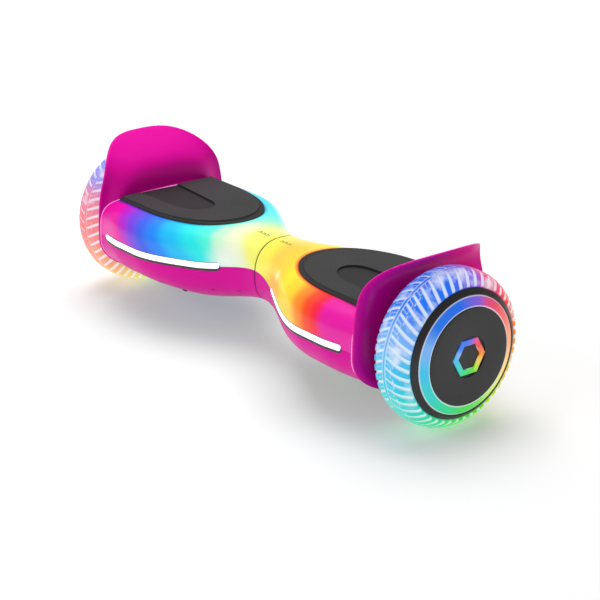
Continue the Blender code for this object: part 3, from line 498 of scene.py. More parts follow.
def bundle(meshes):
    """Several separate meshes in one."""
    shape = bmesh.new()
    for mesh in meshes:
        shape.from_mesh(mesh)
    joined = bpy.data.meshes.new("bundle")
    shape.to_mesh(joined)
    shape.free()
    return joined


def skin_frame(x, z):
    """Point and outward direction on the back skin."""
    step = 0.002
    slope = (skin_y(x, z + step) - skin_y(x, z - step)) / (2 * step)
    return Vector((x, skin_y(x, z), z)), Vector((0.0, 1.0, -slope)).normalized()


def fittings_drill():
    """The round holes for the charging inlet and the power switch."""
    height, inlet, switch = 0.0680, (0.185, 0.0113), (0.150, 0.0110)
    drills = []
    for x, radius in (inlet, switch):
        spot, out = skin_frame(x, height)
        drills.append(rod(spot - out * 0.012, spot + out * 0.010, radius, 48))
    return bundle(drills)


def grille_drill():
    """The speaker's holes: one in the middle and two rings round it."""
    centre, hole_radius, ring_step = 0.072, 0.0011, 0.0042
    drills = []
    for ring, count in enumerate((1, 6, 12)):
        for i in range(count):
            angle = 2 * math.pi * i / count
            x = centre + ring * ring_step * math.cos(angle)
            y = ring * ring_step * math.sin(angle)
            drills.append(rod((x, y, 0.020), (x, y, 0.052), hole_radius, 12))
    return bundle(drills)


def vent_drill():
    """Short slots along the front and back of the belly."""
    half_length, slot_radius = 0.004, 0.0012
    slots = []
    for x in (0.030, 0.062, 0.128, 0.160):
        for y in (-1, 1):
            reach = half_width(x) * 0.80
            floor = belly_z(x, reach)
            start, end = (x - half_length, y * reach, floor), (x + half_length, y * reach, floor)
            slots.append(rod(start, end, slot_radius, 12))
    return bundle(slots)


def rainbow(nodes, links, stops, source):
    """A ramp through the colours, each at its own place along the source value."""
    low, high = stops[0][0], stops[-1][0]
    ramp = nodes.new("ShaderNodeValToRGB")
    ramp.color_ramp.interpolation = "EASE"
    marks = ramp.color_ramp.elements
    while len(marks) < len(stops):
        marks.new(0.5)
    for mark, (place, colour) in zip(marks, stops):
        mark.position = (place - low) / (high - low)
        mark.color = (*[linear(c) for c in colour], 1.0)
    links.new(remap(nodes, links, source, low, high), ramp.inputs["Fac"])
    return ramp.outputs["Color"]


def linear(value):
    """A screen value from 0 to 255 as light."""
    value /= 255
    return value / 12.92 if value <= 0.04045 else ((value + 0.055) / 1.055) ** 2.4


def sums(nodes, links, operation, *values):
    """One arithmetic step; each value is a number or a socket."""
    node = nodes.new("ShaderNodeMath")
    node.operation = operation
    for socket, value in zip(node.inputs, values):
        if isinstance(value, (int, float)):
            socket.default_value = value
        else:
            links.new(value, socket)
    return node.outputs["Value"]


def dimmed(nodes, links, colour, share):
    """The colour at this share of its brightness; the share is a number or a socket."""
    shade = nodes.new("ShaderNodeHueSaturation")
    if isinstance(share, float):
        shade.inputs["Value"].default_value = share
    else:
        links.new(share, shade.inputs["Value"])
    links.new(colour, shade.inputs["Color"])
    return shade.outputs["Color"]


def mixed(nodes, links, factor, first, second):
    """The first colour where the factor is 0, the second where it is 1; each is a colour or a socket."""
    mix = nodes.new("ShaderNodeMix")
    mix.data_type = "RGBA"
    links.new(factor, mix.inputs["Factor"])
    for socket, colour in zip(mix.inputs[6:8], (first, second)):
        if isinstance(colour, tuple):
            socket.default_value = (*colour, 1.0)
        else:
            links.new(colour, socket)
    return mix.outputs[2]


def object_axes(nodes, links):
    """Where a point of the piece lies, as one vector and as its X, Y and Z."""
    place = nodes.new("ShaderNodeTexCoord").outputs["Object"]
    axes = nodes.new("ShaderNodeSeparateXYZ")
    links.new(place, axes.inputs["Vector"])
    return place, axes.outputs["X"], axes.outputs["Y"], axes.outputs["Z"]


magenta_light = (236, 12, 164)
violet_light = (128, 92, 255)


def pad_edge(nodes, links, x, y):
    """0.9 right beside a foot pad's outline, falling to nothing a few millimetres away from it."""
    ahead = sums(nodes, links, "SUBTRACT", pad_shoulder, sums(nodes, links, "ABSOLUTE", x))
    ahead = sums(nodes, links, "DIVIDE", sums(nodes, links, "MAXIMUM", ahead, 0.0), pad_shoulder - pad_tip)
    beside = sums(nodes, links, "DIVIDE", sums(nodes, links, "ABSOLUTE", y), pad_half)
    ahead, beside = (sums(nodes, links, "POWER", share, pad_exponent) for share in (ahead, beside))
    return remap(nodes, links, sums(nodes, links, "ADD", ahead, beside), 1.02, 1.14, 0.9, 0.0, True)


def painted_highlights(nodes, links, place, colour):
    """The colour with two highlights painted near white by the neck, each with its own reach."""
    for spot, reach in (((-0.040, -0.046, 0.095), 0.030), ((0.060, -0.058, 0.112), 0.012)):
        away = nodes.new("ShaderNodeVectorMath")
        away.operation = "DISTANCE"
        away.inputs[1].default_value = spot
        links.new(place, away.inputs[0])
        near = remap(nodes, links, away.outputs["Value"], 0.0, reach, 0.85, 0.0, True)
        colour = mixed(nodes, links, near, colour, (1.0, 1.0, 0.92))
    return colour


def glow_plastic():
    """Milky plastic over a rainbow strip; the colours lean along the board with height and drift a little.
    Two highlights are painted near white by the neck.
    """
    material, nodes, links, shader = finish("glow_plastic", (0.8, 0.6, 0.2), 0.30)
    place, x, y, z = object_axes(nodes, links)
    cloud = nodes.new("ShaderNodeTexNoise")
    cloud.inputs["Scale"].default_value = 16.0
    cloud.inputs["Detail"].default_value = 1.0
    links.new(place, cloud.inputs["Vector"])
    drift = sums(nodes, links, "MULTIPLY", sums(nodes, links, "SUBTRACT", cloud.outputs["Fac"], 0.5), 0.020)
    tilt = remap(nodes, links, x, -0.060, 0.060, 0.75, 0.35)
    lean = sums(nodes, links, "MULTIPLY", sums(nodes, links, "SUBTRACT", z, 0.104), tilt)
    along = sums(nodes, links, "ADD", sums(nodes, links, "ADD", x, drift), lean)
    front = rainbow(nodes, links, (
        (-0.240, magenta_light), (-0.190, magenta_light), (-0.174, (186, 30, 206)), (-0.160, (124, 62, 226)),
        (-0.142, (66, 96, 236)), (-0.120, (34, 138, 255)), (-0.100, (24, 196, 255)),
        (-0.076, (34, 240, 240)), (-0.058, (84, 250, 226)), (-0.044, (196, 252, 212)),
        (-0.028, (242, 252, 206)), (-0.010, (250, 250, 120)), (0.018, (255, 240, 84)),
        (0.044, (255, 208, 70)), (0.068, (252, 214, 52)), (0.100, (255, 232, 36)), (0.124, (255, 214, 40)),
        (0.142, (255, 140, 36)), (0.157, (255, 72, 34)), (0.171, (250, 28, 64)),
        (0.184, magenta_light), (0.240, magenta_light)), along)
    back = rainbow(nodes, links, (
        (-0.240, magenta_light), (-0.190, magenta_light), (-0.172, violet_light), (-0.152, (40, 170, 255)),
        (-0.130, (30, 222, 248)), (-0.060, (100, 250, 250)), (-0.040, (140, 252, 230)),
        (-0.026, (196, 254, 190)), (-0.010, (244, 252, 170)), (0.030, (255, 244, 150)),
        (0.070, (255, 232, 80)), (0.110, (255, 190, 50)), (0.136, (255, 100, 40)), (0.160, (250, 28, 64)),
        (0.184, magenta_light), (0.240, magenta_light)), along)
    skin_colour = mixed(nodes, links, remap(nodes, links, y, -0.012, 0.022, eased=True), front, back)
    rim = rainbow(nodes, links, (
        (-0.240, (130, 16, 190)), (-0.180, (84, 40, 214)), (-0.140, (30, 96, 236)), (-0.100, (0, 172, 226)),
        (-0.060, (70, 240, 230)), (-0.030, (230, 250, 190)), (0.045, (255, 196, 76)), (0.062, (255, 130, 44)),
        (0.080, (255, 78, 30)), (0.125, (250, 44, 30)), (0.165, (240, 20, 56)), (0.200, (206, 12, 130)),
        (0.240, (180, 12, 136))), x)
    # Painted highlights: the colour goes near white at two places by the neck.
    skin_colour = painted_highlights(nodes, links, place, skin_colour)
    colour = mixed(nodes, links, pad_edge(nodes, links, x, y), skin_colour, rim)
    links.new(dimmed(nodes, links, colour, 0.55), shader.inputs["Base Color"])
    links.new(colour, shader.inputs["Emission Color"])
    shader.inputs["Emission Strength"].default_value = 0.46
    shader.inputs["Specular IOR Level"].default_value = 0.30
    shader.inputs["Coat Weight"].default_value = 0.22
    shader.inputs["Coat Roughness"].default_value = 0.16
    fine = nodes.new("ShaderNodeTexNoise")
    fine.inputs["Scale"].default_value = 1500.0
    bump = nodes.new("ShaderNodeBump")
    bump.inputs["Distance"].default_value = 0.00002
    links.new(place, fine.inputs["Vector"])
    links.new(fine.outputs["Fac"], bump.inputs["Height"])
    links.new(bump.outputs["Normal"], shader.inputs["Normal"])
    return material


def magenta_plastic():
    """Satin magenta, coloured right through, with a faint orange-peel surface."""
    colour = [linear(value) for value in (230, 3, 160)]
    material, nodes, links, shader = finish("magenta_plastic", colour, 0.34)
    noise = grain(nodes, links, shader, 700.0, 0.00004)
    spread(nodes, links, noise.outputs["Fac"], shader.inputs["Roughness"], 0.30, 0.38)
    shader.inputs["Specular IOR Level"].default_value = 0.10
    shader.inputs["Coat Weight"].default_value = 0.03
    shader.inputs["Coat Roughness"].default_value = 0.20
    return material


glow_skin = glow_plastic()
magenta_skin = magenta_plastic()
solid, hollow, envelope = body_solid(), body_hollow(), fender_envelope()
walls = carve(solid, [hollow])
slot_front, slot_back, slot_gap = -0.006, 0.012, 0.0005
slot = skin("bar_slot", bar_rows(slot_front, slot_back, slot_gap))
pocket = outline_block("pocket", pad_ring(pocket_gap), pocket_floor, above_deck)
upper = carve(walls.copy(), [parting_block(True)], "INTERSECT")
upper = carve(upper, [pocket, slot.copy(), envelope.copy()])
lower = carve(walls, [parting_block(False)], "INTERSECT")
lower = carve(lower, [slot, envelope, vent_drill()])
drilled_lower = carve(lower.copy(), [fittings_drill(), grille_drill()])
for side, sign in HALVES:
    base = drilled_lower if sign > 0 else handed(lower, sign)
    for level, mesh, material, finish_slot in (
            ("upper", handed(upper, sign), glow_skin, "shell_glow"),
            ("lower", base, magenta_skin, "shell_magenta")):
        moulding(
            side + "_" + level + "_moulding", mesh, material, side + "_half",
            (side + "_" + level + "_shell",), tints=False)


# ---------------------------------------------------------------- seam shade band
# A thin black rubber band in the gap between the halves, fixed to the -X half, that paints the shade in
# the seam. The +X half slides on it when the board twists.


def seam_shade_ring():
    """A flat band that follows the neck's outline a little below its skin."""
    half, outside, inside, edge = 0.0006, 0.0004, 0.0030, 0.0003
    rows = [body_ring(x, inset) for x, inset in (
        (-half, inside), (-half, outside + edge), (-half + edge, outside),
        (half - edge, outside), (half, outside + edge), (half, inside))]
    return skin("seam_shade", rows, ends=False, joined=True)


seam_shade_black = matte_plastic("seam_shade_black", (0.010, 0.010, 0.011), 0.6)
# A black band in the seam: painted shade of the gap between the halves.
moulding("seam_shade_band", seam_shade_ring(), seam_shade_black, "left_half")


# ---------------------------------------------------------------- fenders
# A magenta blade over each wheel, 3 mm thick, dished round the motor and flared out above the deck. It screws
# to the end of the casting and closes the open end of both shells.

FENDER_SHARES = (0.03, 0.05, 0.08, 0.12, 0.16, 0.20, 0.25, 0.30, 0.36, 0.43, 0.52, 0.64, 0.80, 1.0)


def fender_blade():
    """Two faces and a rounded rim between them."""
    count, thickness, edge, rim_to_hole = 160, 0.0030, 0.0009, 0.0700
    angles = [2 * math.pi * (i + 0.5) / count for i in range(count)]

    def row(share, depth):
        return [(x - depth, y, z) for x, y, z in (fender_point(angle, share) for angle in angles)]

    rows = [row(share, 0.0) for share in reversed(FENDER_SHARES)]
    for turn in range(0, 181, 30):
        inward = edge * (1 - math.sin(math.radians(turn)))
        depth = thickness / 2 - (thickness / 2) * math.cos(math.radians(turn))
        rows.append(row(inward / rim_to_hole, depth))
    rows += [row(share, thickness) for share in FENDER_SHARES]
    return skin("fender", rows, ends=False, joined=True)


def fender_face(y, z):
    """How far out the fender's outer face lies over this place."""
    spot = Vector((y, z))
    around = math.atan2(z - wheel_radius, y)
    low, high = around - 0.7, around + 0.7
    for _ in range(24):
        angle = (low + high) / 2
        rim, hole = Vector(fender_point(angle, 0.0)[1:]), Vector(fender_point(angle, 1.0)[1:])
        if (rim - hole).cross(spot - hole) > 0:
            low = angle
        else:
            high = angle
    share = (spot - rim).length / (hole - rim).length
    return fender_point(angle, share)[0]


def highlight_bead():
    """A pale pink line painted along where the fender closes the shells, a highlight that glows by itself."""
    behind_face = 0.0036
    seat = [fender_face(y, z) - behind_face for _, y, z in body_ring(0.222)]
    rows = []
    for back, inset in (
            (0.0009, 0.0010), (0.0009, 0.0), (0.0007, -0.0003),
            (0.0001, -0.0003), (0.0, 0.0), (0.0, 0.0010)):
        rows.append([body_ring(x - back, inset)[i] for i, x in enumerate(seat)])
    return skin("bead", rows, ends=False, joined=True)


def painted_pink_highlight():
    """Plastic that glows a little pink by itself, to paint a highlight."""
    material, nodes, links, shader = finish("painted_pink_highlight", (0.85, 0.30, 0.65), 0.4)
    noise = grain(nodes, links, shader, 300.0, 0.00002)
    spread(nodes, links, noise.outputs["Fac"], shader.inputs["Emission Strength"], 0.35, 0.60)
    shader.inputs["Emission Color"].default_value = (1.0, 0.36, 0.78, 1.0)
    return material


blade = fender_blade()
bead = highlight_bead()
highlight_pink = painted_pink_highlight()
for side, sign in HALVES:
    # A bead that glows pink by itself: painted highlight where the fender meets the shells.
    moulding(side + "_highlight_bead", handed(bead, sign), highlight_pink, side + "_half")
    moulding(
        side + "_fender_blade", handed(blade, sign), magenta_skin, side + "_half",
        (side + "_fender",), 60, False)


# ---------------------------------------------------------------- foot pads
# Charcoal rubber mats, 5 mm thick, that drop into a pocket of the upper shell and press on two plungers. A
# raised sole plate lies inside the border, and a tongue is sunk into it from the fender's side.

border_drop, pad_round, sole_round = 0.0016, 0.0010, 0.0008
tongue_tip, tongue_centre, tongue_half = 0.1140, -0.0135, 0.0225


def pad_layers(outlines):
    """Stacked outlines, each at its own height, as one closed slab."""
    return skin("pad", [[(x, y, z) for x, y in outline] for outline, z in outlines])


def tongue_cutter():
    """A wedge whose floor sinks from the front edge to the back edge, round at the tip."""
    reach, end, steps = 0.030, 0.222, 28
    outline = [(end, tongue_centre - tongue_half - 0.004)]
    for i in range(steps + 1):
        angle = -math.pi / 2 + math.pi * i / steps
        lean = 0.010 * (1 - math.sin(angle)) / 2
        x = tongue_tip + lean + reach - reach * math.cos(angle)
        outline.append((x, tongue_centre + tongue_half * math.sin(angle)))
    outline.append((end, tongue_centre + tongue_half + 0.006))
    front = tongue_centre - tongue_half - 0.002
    least_sink, most_sink = 0.0012, 0.0025
    rows = []
    for top in (False, True):
        row = []
        for x, y in outline:
            sink = between(least_sink, most_sink, min(max((y - front) / (2 * tongue_half), 0.0), 1.0))
            row.append((x, y, pad_top + 0.010 if top else pad_top - sink))
        rows.append(row)
    return skin("tongue", rows)


def grip_rubber():
    """Charcoal rubber, a little paler in worn patches, with painted shade darkening the sunk floors."""
    material, nodes, links, shader = finish("grip_rubber", (0.034, 0.034, 0.035), 0.62)
    noise = grain(nodes, links, shader, 1300.0, 0.00012, detail=6.0)
    spread(nodes, links, noise.outputs["Fac"], shader.inputs["Roughness"], 0.52, 0.70)
    worn = nodes.new("ShaderNodeTexNoise")
    worn.inputs["Scale"].default_value = 22.0
    place, _, _, z = object_axes(nodes, links)
    links.new(place, worn.inputs["Vector"])
    shade = mixed(nodes, links, worn.outputs["Fac"], (0.030, 0.030, 0.031), (0.044, 0.044, 0.045))
    # Painted shade: the colour darkens on the sunk floors of the border and the tongue.
    recess_shade = remap(nodes, links, z, pad_top - 0.0014, pad_top - 0.0005, 0.62)
    links.new(dimmed(nodes, links, shade, recess_shade), shader.inputs["Base Color"])
    return material


def pad_mesh():
    """The border, wider at the pad's tip, the sole plate raised inside it, and the tongue cut from both."""
    border_top = pad_top - border_drop
    layers = [(pad_ring(0.0), pad_low[2]), (pad_ring(0.0), border_top - pad_round)]
    for turn in (30, 60, 90):
        inward = pad_round * (1 - math.cos(math.radians(turn)))
        layers.append((pad_ring(-inward), border_top - pad_round * (1 - math.sin(math.radians(turn)))))
    layers.append((pad_ring(-0.0022, tip_gap=-0.0090), border_top))
    for turn in (0, 30, 60, 90):
        inward = 0.0024 + sole_round * (1 - math.cos(math.radians(turn)))
        rise = between(0.0002, border_drop, math.sin(math.radians(turn)))
        layers.append((pad_ring(-inward, tip_gap=-inward - 0.0070), border_top + rise))
    return carve(pad_layers(layers), [tongue_cutter()])


rubber = grip_rubber()
pad = pad_mesh()
for side, sign in HALVES:
    mesh = handed(pad, sign)
    moulding(side + "_pad_mat", mesh, rubber, side + "_pedal", (side + "_footpad",), 25)


# ---------------------------------------------------------------- light bars
# A frosted white lens over a strip of LEDs, in a slot along the parting line, with a dark grey strip that
# shows below it. Both snap into the shells from inside.


def lit_lens():
    """Frosted white plastic with a cold light behind it."""
    material, nodes, links, shader = finish("lit_lens", (0.92, 0.90, 0.92), 0.25)
    noise = grain(nodes, links, shader, 1800.0, 0.00002)
    spread(nodes, links, noise.outputs["Fac"], shader.inputs["Emission Strength"], 0.60, 0.70)
    shader.inputs["Emission Color"].default_value = (1.0, 0.95, 1.0, 1.0)
    return material


lens_white = lit_lens()
dark_strip_grey = matte_plastic("dark_strip_grey", (0.035, 0.033, 0.036), 0.45)
lens_half, lens_lift = 0.0033, 0.0012
lens = skin("lens", bar_rows(-0.0004, 0.0050, 0.0, lens_half, lens_lift))
lens_room = skin("lens_room", bar_rows(slot_front, 0.0060, 0.0001, lens_half, lens_lift))
# A dark grey strip that shows below the lens.
dark_strip = carve(skin("dark_strip", bar_rows(-0.0001, 0.0040, 0.0004)), [lens_room])
for side, sign in HALVES:
    for name, mesh, material in (("lens", lens, lens_white), ("dark_strip", dark_strip, dark_strip_grey)):
        shape = handed(mesh, sign)
        replaced = (side + "_headlight_lens",) if name == "lens" else ()
        moulding(side + "_light_bar_" + name, shape, material, side + "_half", replaced, 50)


# ---------------------------------------------------------------- tyres
# Clear rubber over the motor's drum, 165 mm across, lit by the ring of LEDs behind it. Slanted blocks run
# from a double groove in the middle out over both shoulders, with a step between the inner and outer blocks.

tyre_bore, tyre_crown, tread_depth, bead_chamfer = 0.0684, 0.0110, 0.0019, 0.0006
BLOCKS = 46


def pulse(value, width, soft):
    """1 within width of a whole number, falling to 0 over soft."""
    gap = abs(value - round(value))
    return 1 - smooth((gap - width) / soft)


def groove_depth(turn, u):
    """How deep the tread is cut at this turn (0 to 1) and place across (-1 to 1)."""
    middle_place, block_start, step_place, step_shift, fade = 0.075, 0.09, 0.40, 0.08, 0.05
    side = abs(u)
    lean = turn * BLOCKS + 1.1 * side ** 1.2 + (0.5 if u > 0 else 0.0)
    outside = smooth((side - block_start) / fade)
    across = pulse(lean, 0.07 + 0.09 * side, 0.09) * outside
    thin = 0.6 * pulse(lean + 0.5, 0.02, 0.05) * outside * (1 - smooth((side - 0.38) / fade))
    middle = pulse((side - middle_place) / 10, 0.0014, 0.0030)
    shift = step_shift * pulse(lean * 0.5, 0.24, 0.02)
    step = 0.6 * pulse((side - step_place - shift) / 10, 0.0012, 0.0026)
    return max(across, thin, middle, step)


def tyre_mesh():
    """The tyre in the wheel's own axes; each point keeps how deep the tread is cut there."""
    around, across, half = BLOCKS * 18, 60, tyre_width / 2
    rows, depths = [], []
    for i in range(around):
        angle = 2 * math.pi * i / around
        row = [(bead_chamfer - half, tyre_bore, 0.0)]
        for j in range(across + 1):
            u = -1 + 2 * j / across
            depth = groove_depth(i / around, u)
            fade = 1 - 0.55 * smooth((abs(u) - 0.8) / 0.2)
            radius = wheel_radius - tyre_crown * abs(u) ** 3 - tread_depth * depth * fade
            row.append((u * half, radius, depth))
        row.append((half - bead_chamfer, tyre_bore, 0.0))
        depths += [point[2] for point in row]
        rows.append([(x, r * math.sin(angle), r * math.cos(angle)) for x, r, _ in row])
    count = len(rows[0])
    faces = []
    for i in range(around):
        a, b = i * count, (i + 1) % around * count
        faces += [(a + j, a + (j + 1) % count, b + (j + 1) % count, b + j) for j in range(count)]
    mesh = bpy.data.meshes.new("tyre")
    mesh.from_pydata([point for row in rows for point in row], [], faces)
    cut = mesh.attributes.new("groove", "FLOAT", "POINT")
    for item, depth in zip(cut.data, depths):
        item.value = depth
    return mesh


def wheel_place(sign):
    """From the wheel's own axes, X outwards, to its place; the -X wheel is turned half round."""
    turn = Matrix.Rotation(0.0 if sign > 0 else math.pi, 4, "Z")
    return Matrix.Translation((sign * wheel_offset, 0.0, wheel_radius)) @ turn


def turn_colour(nodes, links, sign):
    """The rainbow once round the wheel, in degrees clockwise from the top as seen from outside."""
    lead = 0.0 if sign > 0 else -40.0
    place, _, y, z = object_axes(nodes, links)
    forward = sums(nodes, links, "MULTIPLY", y, float(sign))
    lift = sums(nodes, links, "SUBTRACT", z, wheel_radius)
    angle = sums(nodes, links, "MULTIPLY", sums(nodes, links, "ARCTAN2", forward, lift), 180 / math.pi)
    angle = sums(nodes, links, "WRAP", sums(nodes, links, "ADD", angle, lead), 180.0, -180.0)
    colour = rainbow(nodes, links, (
        (-180, (40, 226, 60)), (-152, (10, 224, 150)), (-122, (6, 214, 206)), (-94, (30, 196, 240)),
        (-70, (120, 182, 252)), (-44, (24, 122, 246)), (-14, (20, 112, 244)), (10, (130, 96, 232)),
        (28, (240, 70, 130)), (52, (250, 56, 60)), (84, (255, 130, 20)), (118, (255, 210, 6)),
        (142, (196, 236, 10)), (162, (90, 228, 30)), (180, (40, 226, 60))), angle)
    return colour, place, y, z


def clear_rubber(sign):
    """Clear rubber lit from within: blocks take the ring's colour, grooves and cloudy patches go white.
    The patches grow towards the top as painted sheen, and the -X tyre is paler all over.
    """
    name = "clear_rubber_" + ("right" if sign > 0 else "left")
    material, nodes, links, shader = finish(name, (0.8, 0.9, 1.0), 0.12)
    colour, place, _, z = turn_colour(nodes, links, sign)
    cut = nodes.new("ShaderNodeAttribute")
    cut.attribute_name = "groove"
    patch = nodes.new("ShaderNodeTexNoise")
    patch.inputs["Scale"].default_value = 42.0
    patch.inputs["Detail"].default_value = 3.0
    links.new(place, patch.inputs["Vector"])
    milk = remap(nodes, links, patch.outputs["Fac"], 0.52, 0.68, 0.0, 0.75)
    # Painted sheen: the pale patches grow stronger towards the top of the tyre.
    height = remap(nodes, links, z, 0.030, 0.090, 0.10)
    # The -X tyre is made paler all over.
    least_paleness = 0.0 if sign > 0 else 0.20
    cloud_and_sheen = sums(nodes, links, "MAXIMUM", sums(nodes, links, "MULTIPLY", milk, height), least_paleness)
    pale = sums(nodes, links, "MAXIMUM", cloud_and_sheen, sums(nodes, links, "MULTIPLY", cut.outputs["Fac"], 0.80))
    colour = mixed(nodes, links, pale, colour, (0.86, 0.93, 1.0))
    links.new(dimmed(nodes, links, colour, 0.35), shader.inputs["Base Color"])
    links.new(colour, shader.inputs["Emission Color"])
    shader.inputs["Emission Strength"].default_value = 0.68
    shader.inputs["Specular IOR Level"].default_value = 0.35
    shader.inputs["Coat Weight"].default_value = 0.30
    shader.inputs["Coat Roughness"].default_value = 0.06
    return material


tread = tyre_mesh()
for side, sign in HALVES:
    mesh = tread.copy()
    mesh.transform(wheel_place(sign))
    moulding(side + "_tread", mesh, clear_rubber(sign), side + "_wheel", (side + "_tyre",), 80)


# ---------------------------------------------------------------- hub faces
# On the outer side a black trim ring holds the tyre, then a frosted light ring slopes up to a black cap with
# a lit hexagon let into it. All four clip to the drum and turn with it.

ring_inner, ring_rise, light_inner, light_rise = 0.0619, 0.0043, 0.0512, 0.0092
hub_depth, badge_radius, badge_sink, fit = 0.0135, 0.0210, 0.0014, 0.0003


def turned(profile, sign, count=144):
    """A profile of (height out from the wheel's middle, radius) turned about the axle."""
    rows = []
    for i in range(count):
        angle = 2 * math.pi * (i + 0.5) / count
        rows.append([(x, r * math.sin(angle), r * math.cos(angle)) for x, r in profile])
    mesh = skin("turned", rows, ends=False, joined=True)
    mesh.transform(wheel_place(sign))
    return mesh


def rounded(corners, radius, steps=5):
    """The corners of a closed outline, each given a small round."""
    points = []
    for i, corner in enumerate(corners):
        here = Vector(corner)
        before, after = Vector(corners[i - 1]), Vector(corners[(i + 1) % len(corners)])
        reach = min(radius, (before - here).length * 0.45, (after - here).length * 0.45)
        start = here + (before - here).normalized() * reach
        end = here + (after - here).normalized() * reach
        for k in range(steps + 1):
            t = k / steps
            points.append(tuple(start * (1 - t) ** 2 + here * 2 * t * (1 - t) + end * t ** 2))
    return points


def hexagon_ring(outer, inner, low, high, sign):
    """A flat-topped hexagonal frame with softened edges."""
    edge = 0.0003
    rows = []
    for radius, x in (
            (inner, low), (outer, low), (outer, high - edge), (outer - edge, high), (inner + edge, high),
            (inner, high - edge)):
        row = []
        for i in range(6):
            angle = math.pi / 3 * i + math.pi / 6
            row.append((x, radius * math.sin(angle), radius * math.cos(angle)))
        rows.append(row)
    mesh = skin("hexagon", rows, ends=False, joined=True)
    mesh.transform(wheel_place(sign))
    return mesh


def lit_diffuser(name, sign, inner, outer):
    """Frosted plastic over the LEDs, in the colour of its place round the wheel,
    with highlights painted pale along its edges.
    """
    material, nodes, links, shader = finish(name + ("_right" if sign > 0 else "_left"), (0.8, 0.8, 0.8), 0.22)
    colour, _, y, z = turn_colour(nodes, links, sign)
    lift = sums(nodes, links, "SUBTRACT", z, wheel_radius)
    across, upwards = (sums(nodes, links, "POWER", value, 2.0) for value in (y, lift))
    radius = sums(nodes, links, "SQRT", sums(nodes, links, "ADD", across, upwards))
    middle, reach = (inner + outer) / 2, (outer - inner) / 2
    from_middle = sums(nodes, links, "ABSOLUTE", sums(nodes, links, "SUBTRACT", radius, middle))
    # Painted highlight: the colour goes pale near the inner and outer edges.
    edge = remap(nodes, links, from_middle, reach - 0.0016, reach - 0.0004, 0.0, 0.7)
    colour = mixed(nodes, links, edge, colour, (0.95, 0.97, 1.0))
    links.new(dimmed(nodes, links, colour, 0.5), shader.inputs["Base Color"])
    links.new(colour, shader.inputs["Emission Color"])
    shader.inputs["Emission Strength"].default_value = 0.55
    shader.inputs["Coat Weight"].default_value = 0.6
    shader.inputs["Coat Roughness"].default_value = 0.12
    return material


def cap_black():
    """Satin black with a fine moulded hatch."""
    material, nodes, links, shader = finish("cap_black", (0.014, 0.014, 0.015), 0.42)
    noise = grain(nodes, links, shader, 260.0, 0.00010, (1.0, 5.0, 1.0), 2.0)
    spread(nodes, links, noise.outputs["Fac"], shader.inputs["Roughness"], 0.36, 0.50)
    return material


trim_black = matte_plastic("trim_black", (0.016, 0.015, 0.016), 0.38)
cap_skin = cap_black()
half_tyre = tyre_width / 2
cap_top = half_tyre + light_rise
inside = cap_top - hub_depth
pocket_depth = cap_top - badge_sink
ring_top = half_tyre + ring_rise
ring_outer = tyre_bore - fit
ring_profile = rounded([
    (inside, ring_inner), (inside, ring_outer), (half_tyre + 0.0004, ring_outer),
    (ring_top, ring_inner + 0.0012), (ring_top, ring_inner)], 0.0012)
light_top, light_outer = cap_top - 0.0008, ring_inner - fit
light_profile = rounded([
    (inside, light_inner), (inside, light_outer), (ring_top - 0.0002, light_outer),
    (light_top, light_inner + 0.0010), (light_top, light_inner)], 0.0006)
cap_radius, cap_wall, badge_room = light_inner - fit, 0.003, badge_radius + fit
cap_rim = rounded([
    (pocket_depth, badge_room), (cap_top, badge_room), (cap_top + 0.0002, cap_radius - 0.006),
    (cap_top, cap_radius), (inside, cap_radius), (inside, cap_radius - cap_wall),
    (pocket_depth - cap_wall, cap_radius - cap_wall)], 0.0007)
cap_profile = [(pocket_depth, 0.0)] + cap_rim[3:] + [(pocket_depth - cap_wall, 0.0)]
for side, sign in HALVES:
    wheel = side + "_wheel"
    ring, light, cap = (turned(profile, sign) for profile in (ring_profile, light_profile, cap_profile))
    moulding(side + "_trim_ring", ring, trim_black, wheel, (side + "_hub_ring",), 50)
    ring_glow = lit_diffuser("ring_glow", sign, light_inner, ring_inner)
    moulding(side + "_glow_ring", light, ring_glow, wheel, (side + "_light_ring",), 50)
    moulding(side + "_cap_disc", cap, cap_skin, wheel, (side + "_hub_cap",), 40)
    badge = hexagon_ring(badge_radius, 0.68 * badge_radius, pocket_depth + 0.0001, cap_top + 0.0002, sign)
    badge_glow = lit_diffuser("badge_glow", sign, 0.55 * badge_radius, 1.06 * badge_radius)
    moulding(side + "_hexagon", badge, badge_glow, wheel, (side + "_hub_emblem",), 30)


# ---------------------------------------------------------------- charging inlet and power button
# A black moulded inlet under a soft rubber flap, and a plated ring round a satin key, both let into the back
# of the +X half. They keep their frame shape.

plated_ring = metal("plated_ring", (0.70, 0.70, 0.73), 0.16, 500.0, 0.00002)
inlet_black = matte_plastic("inlet_black", (0.018, 0.018, 0.020), 0.38)
flap_rubber = matte_plastic("flap_rubber", (0.024, 0.024, 0.025), 0.74, 1100.0, 0.00010)
dress(inlet_black, "charging_socket", "power_button")
dress(flap_rubber, "port_cap")
dress(plated_ring, "power_switch")


# ---------------------------------------------------------------- case screws
# Six cross-head screws hold each lower shell to the casting above it. Black steel, M4, with domed heads that
# stand a millimetre proud of the belly.


def screw_mesh():
    """A domed head with a cross cut into it, facing down."""
    profile, count = ((0.0030, 0.0), (0.0030, -0.0006), (0.0024, -0.0012), (0.00001, -0.0015)), 24
    cross_length, cross_width, cross_depth, cross_place = 0.0034, 0.0007, 0.0010, -0.0012
    angles = [2 * math.pi * i / count for i in range(count)]
    rows = [[(r * math.cos(angle), r * math.sin(angle), z) for angle in angles] for r, z in profile]
    head = skin("screw", rows)
    bars = []
    for turn in (0, 90):
        shape = bmesh.new()
        bmesh.ops.create_cube(shape, size=1.0)
        shape.transform(
            Matrix.Rotation(math.radians(turn), 4, "Z") @ Matrix.Translation((0, 0, cross_place))
            @ Matrix.Diagonal((cross_length, cross_width, cross_depth, 1.0)))
        bar = bpy.data.meshes.new("bar")
        shape.to_mesh(bar)
        shape.free()
        bars.append(bar)
    return carve(head, bars)


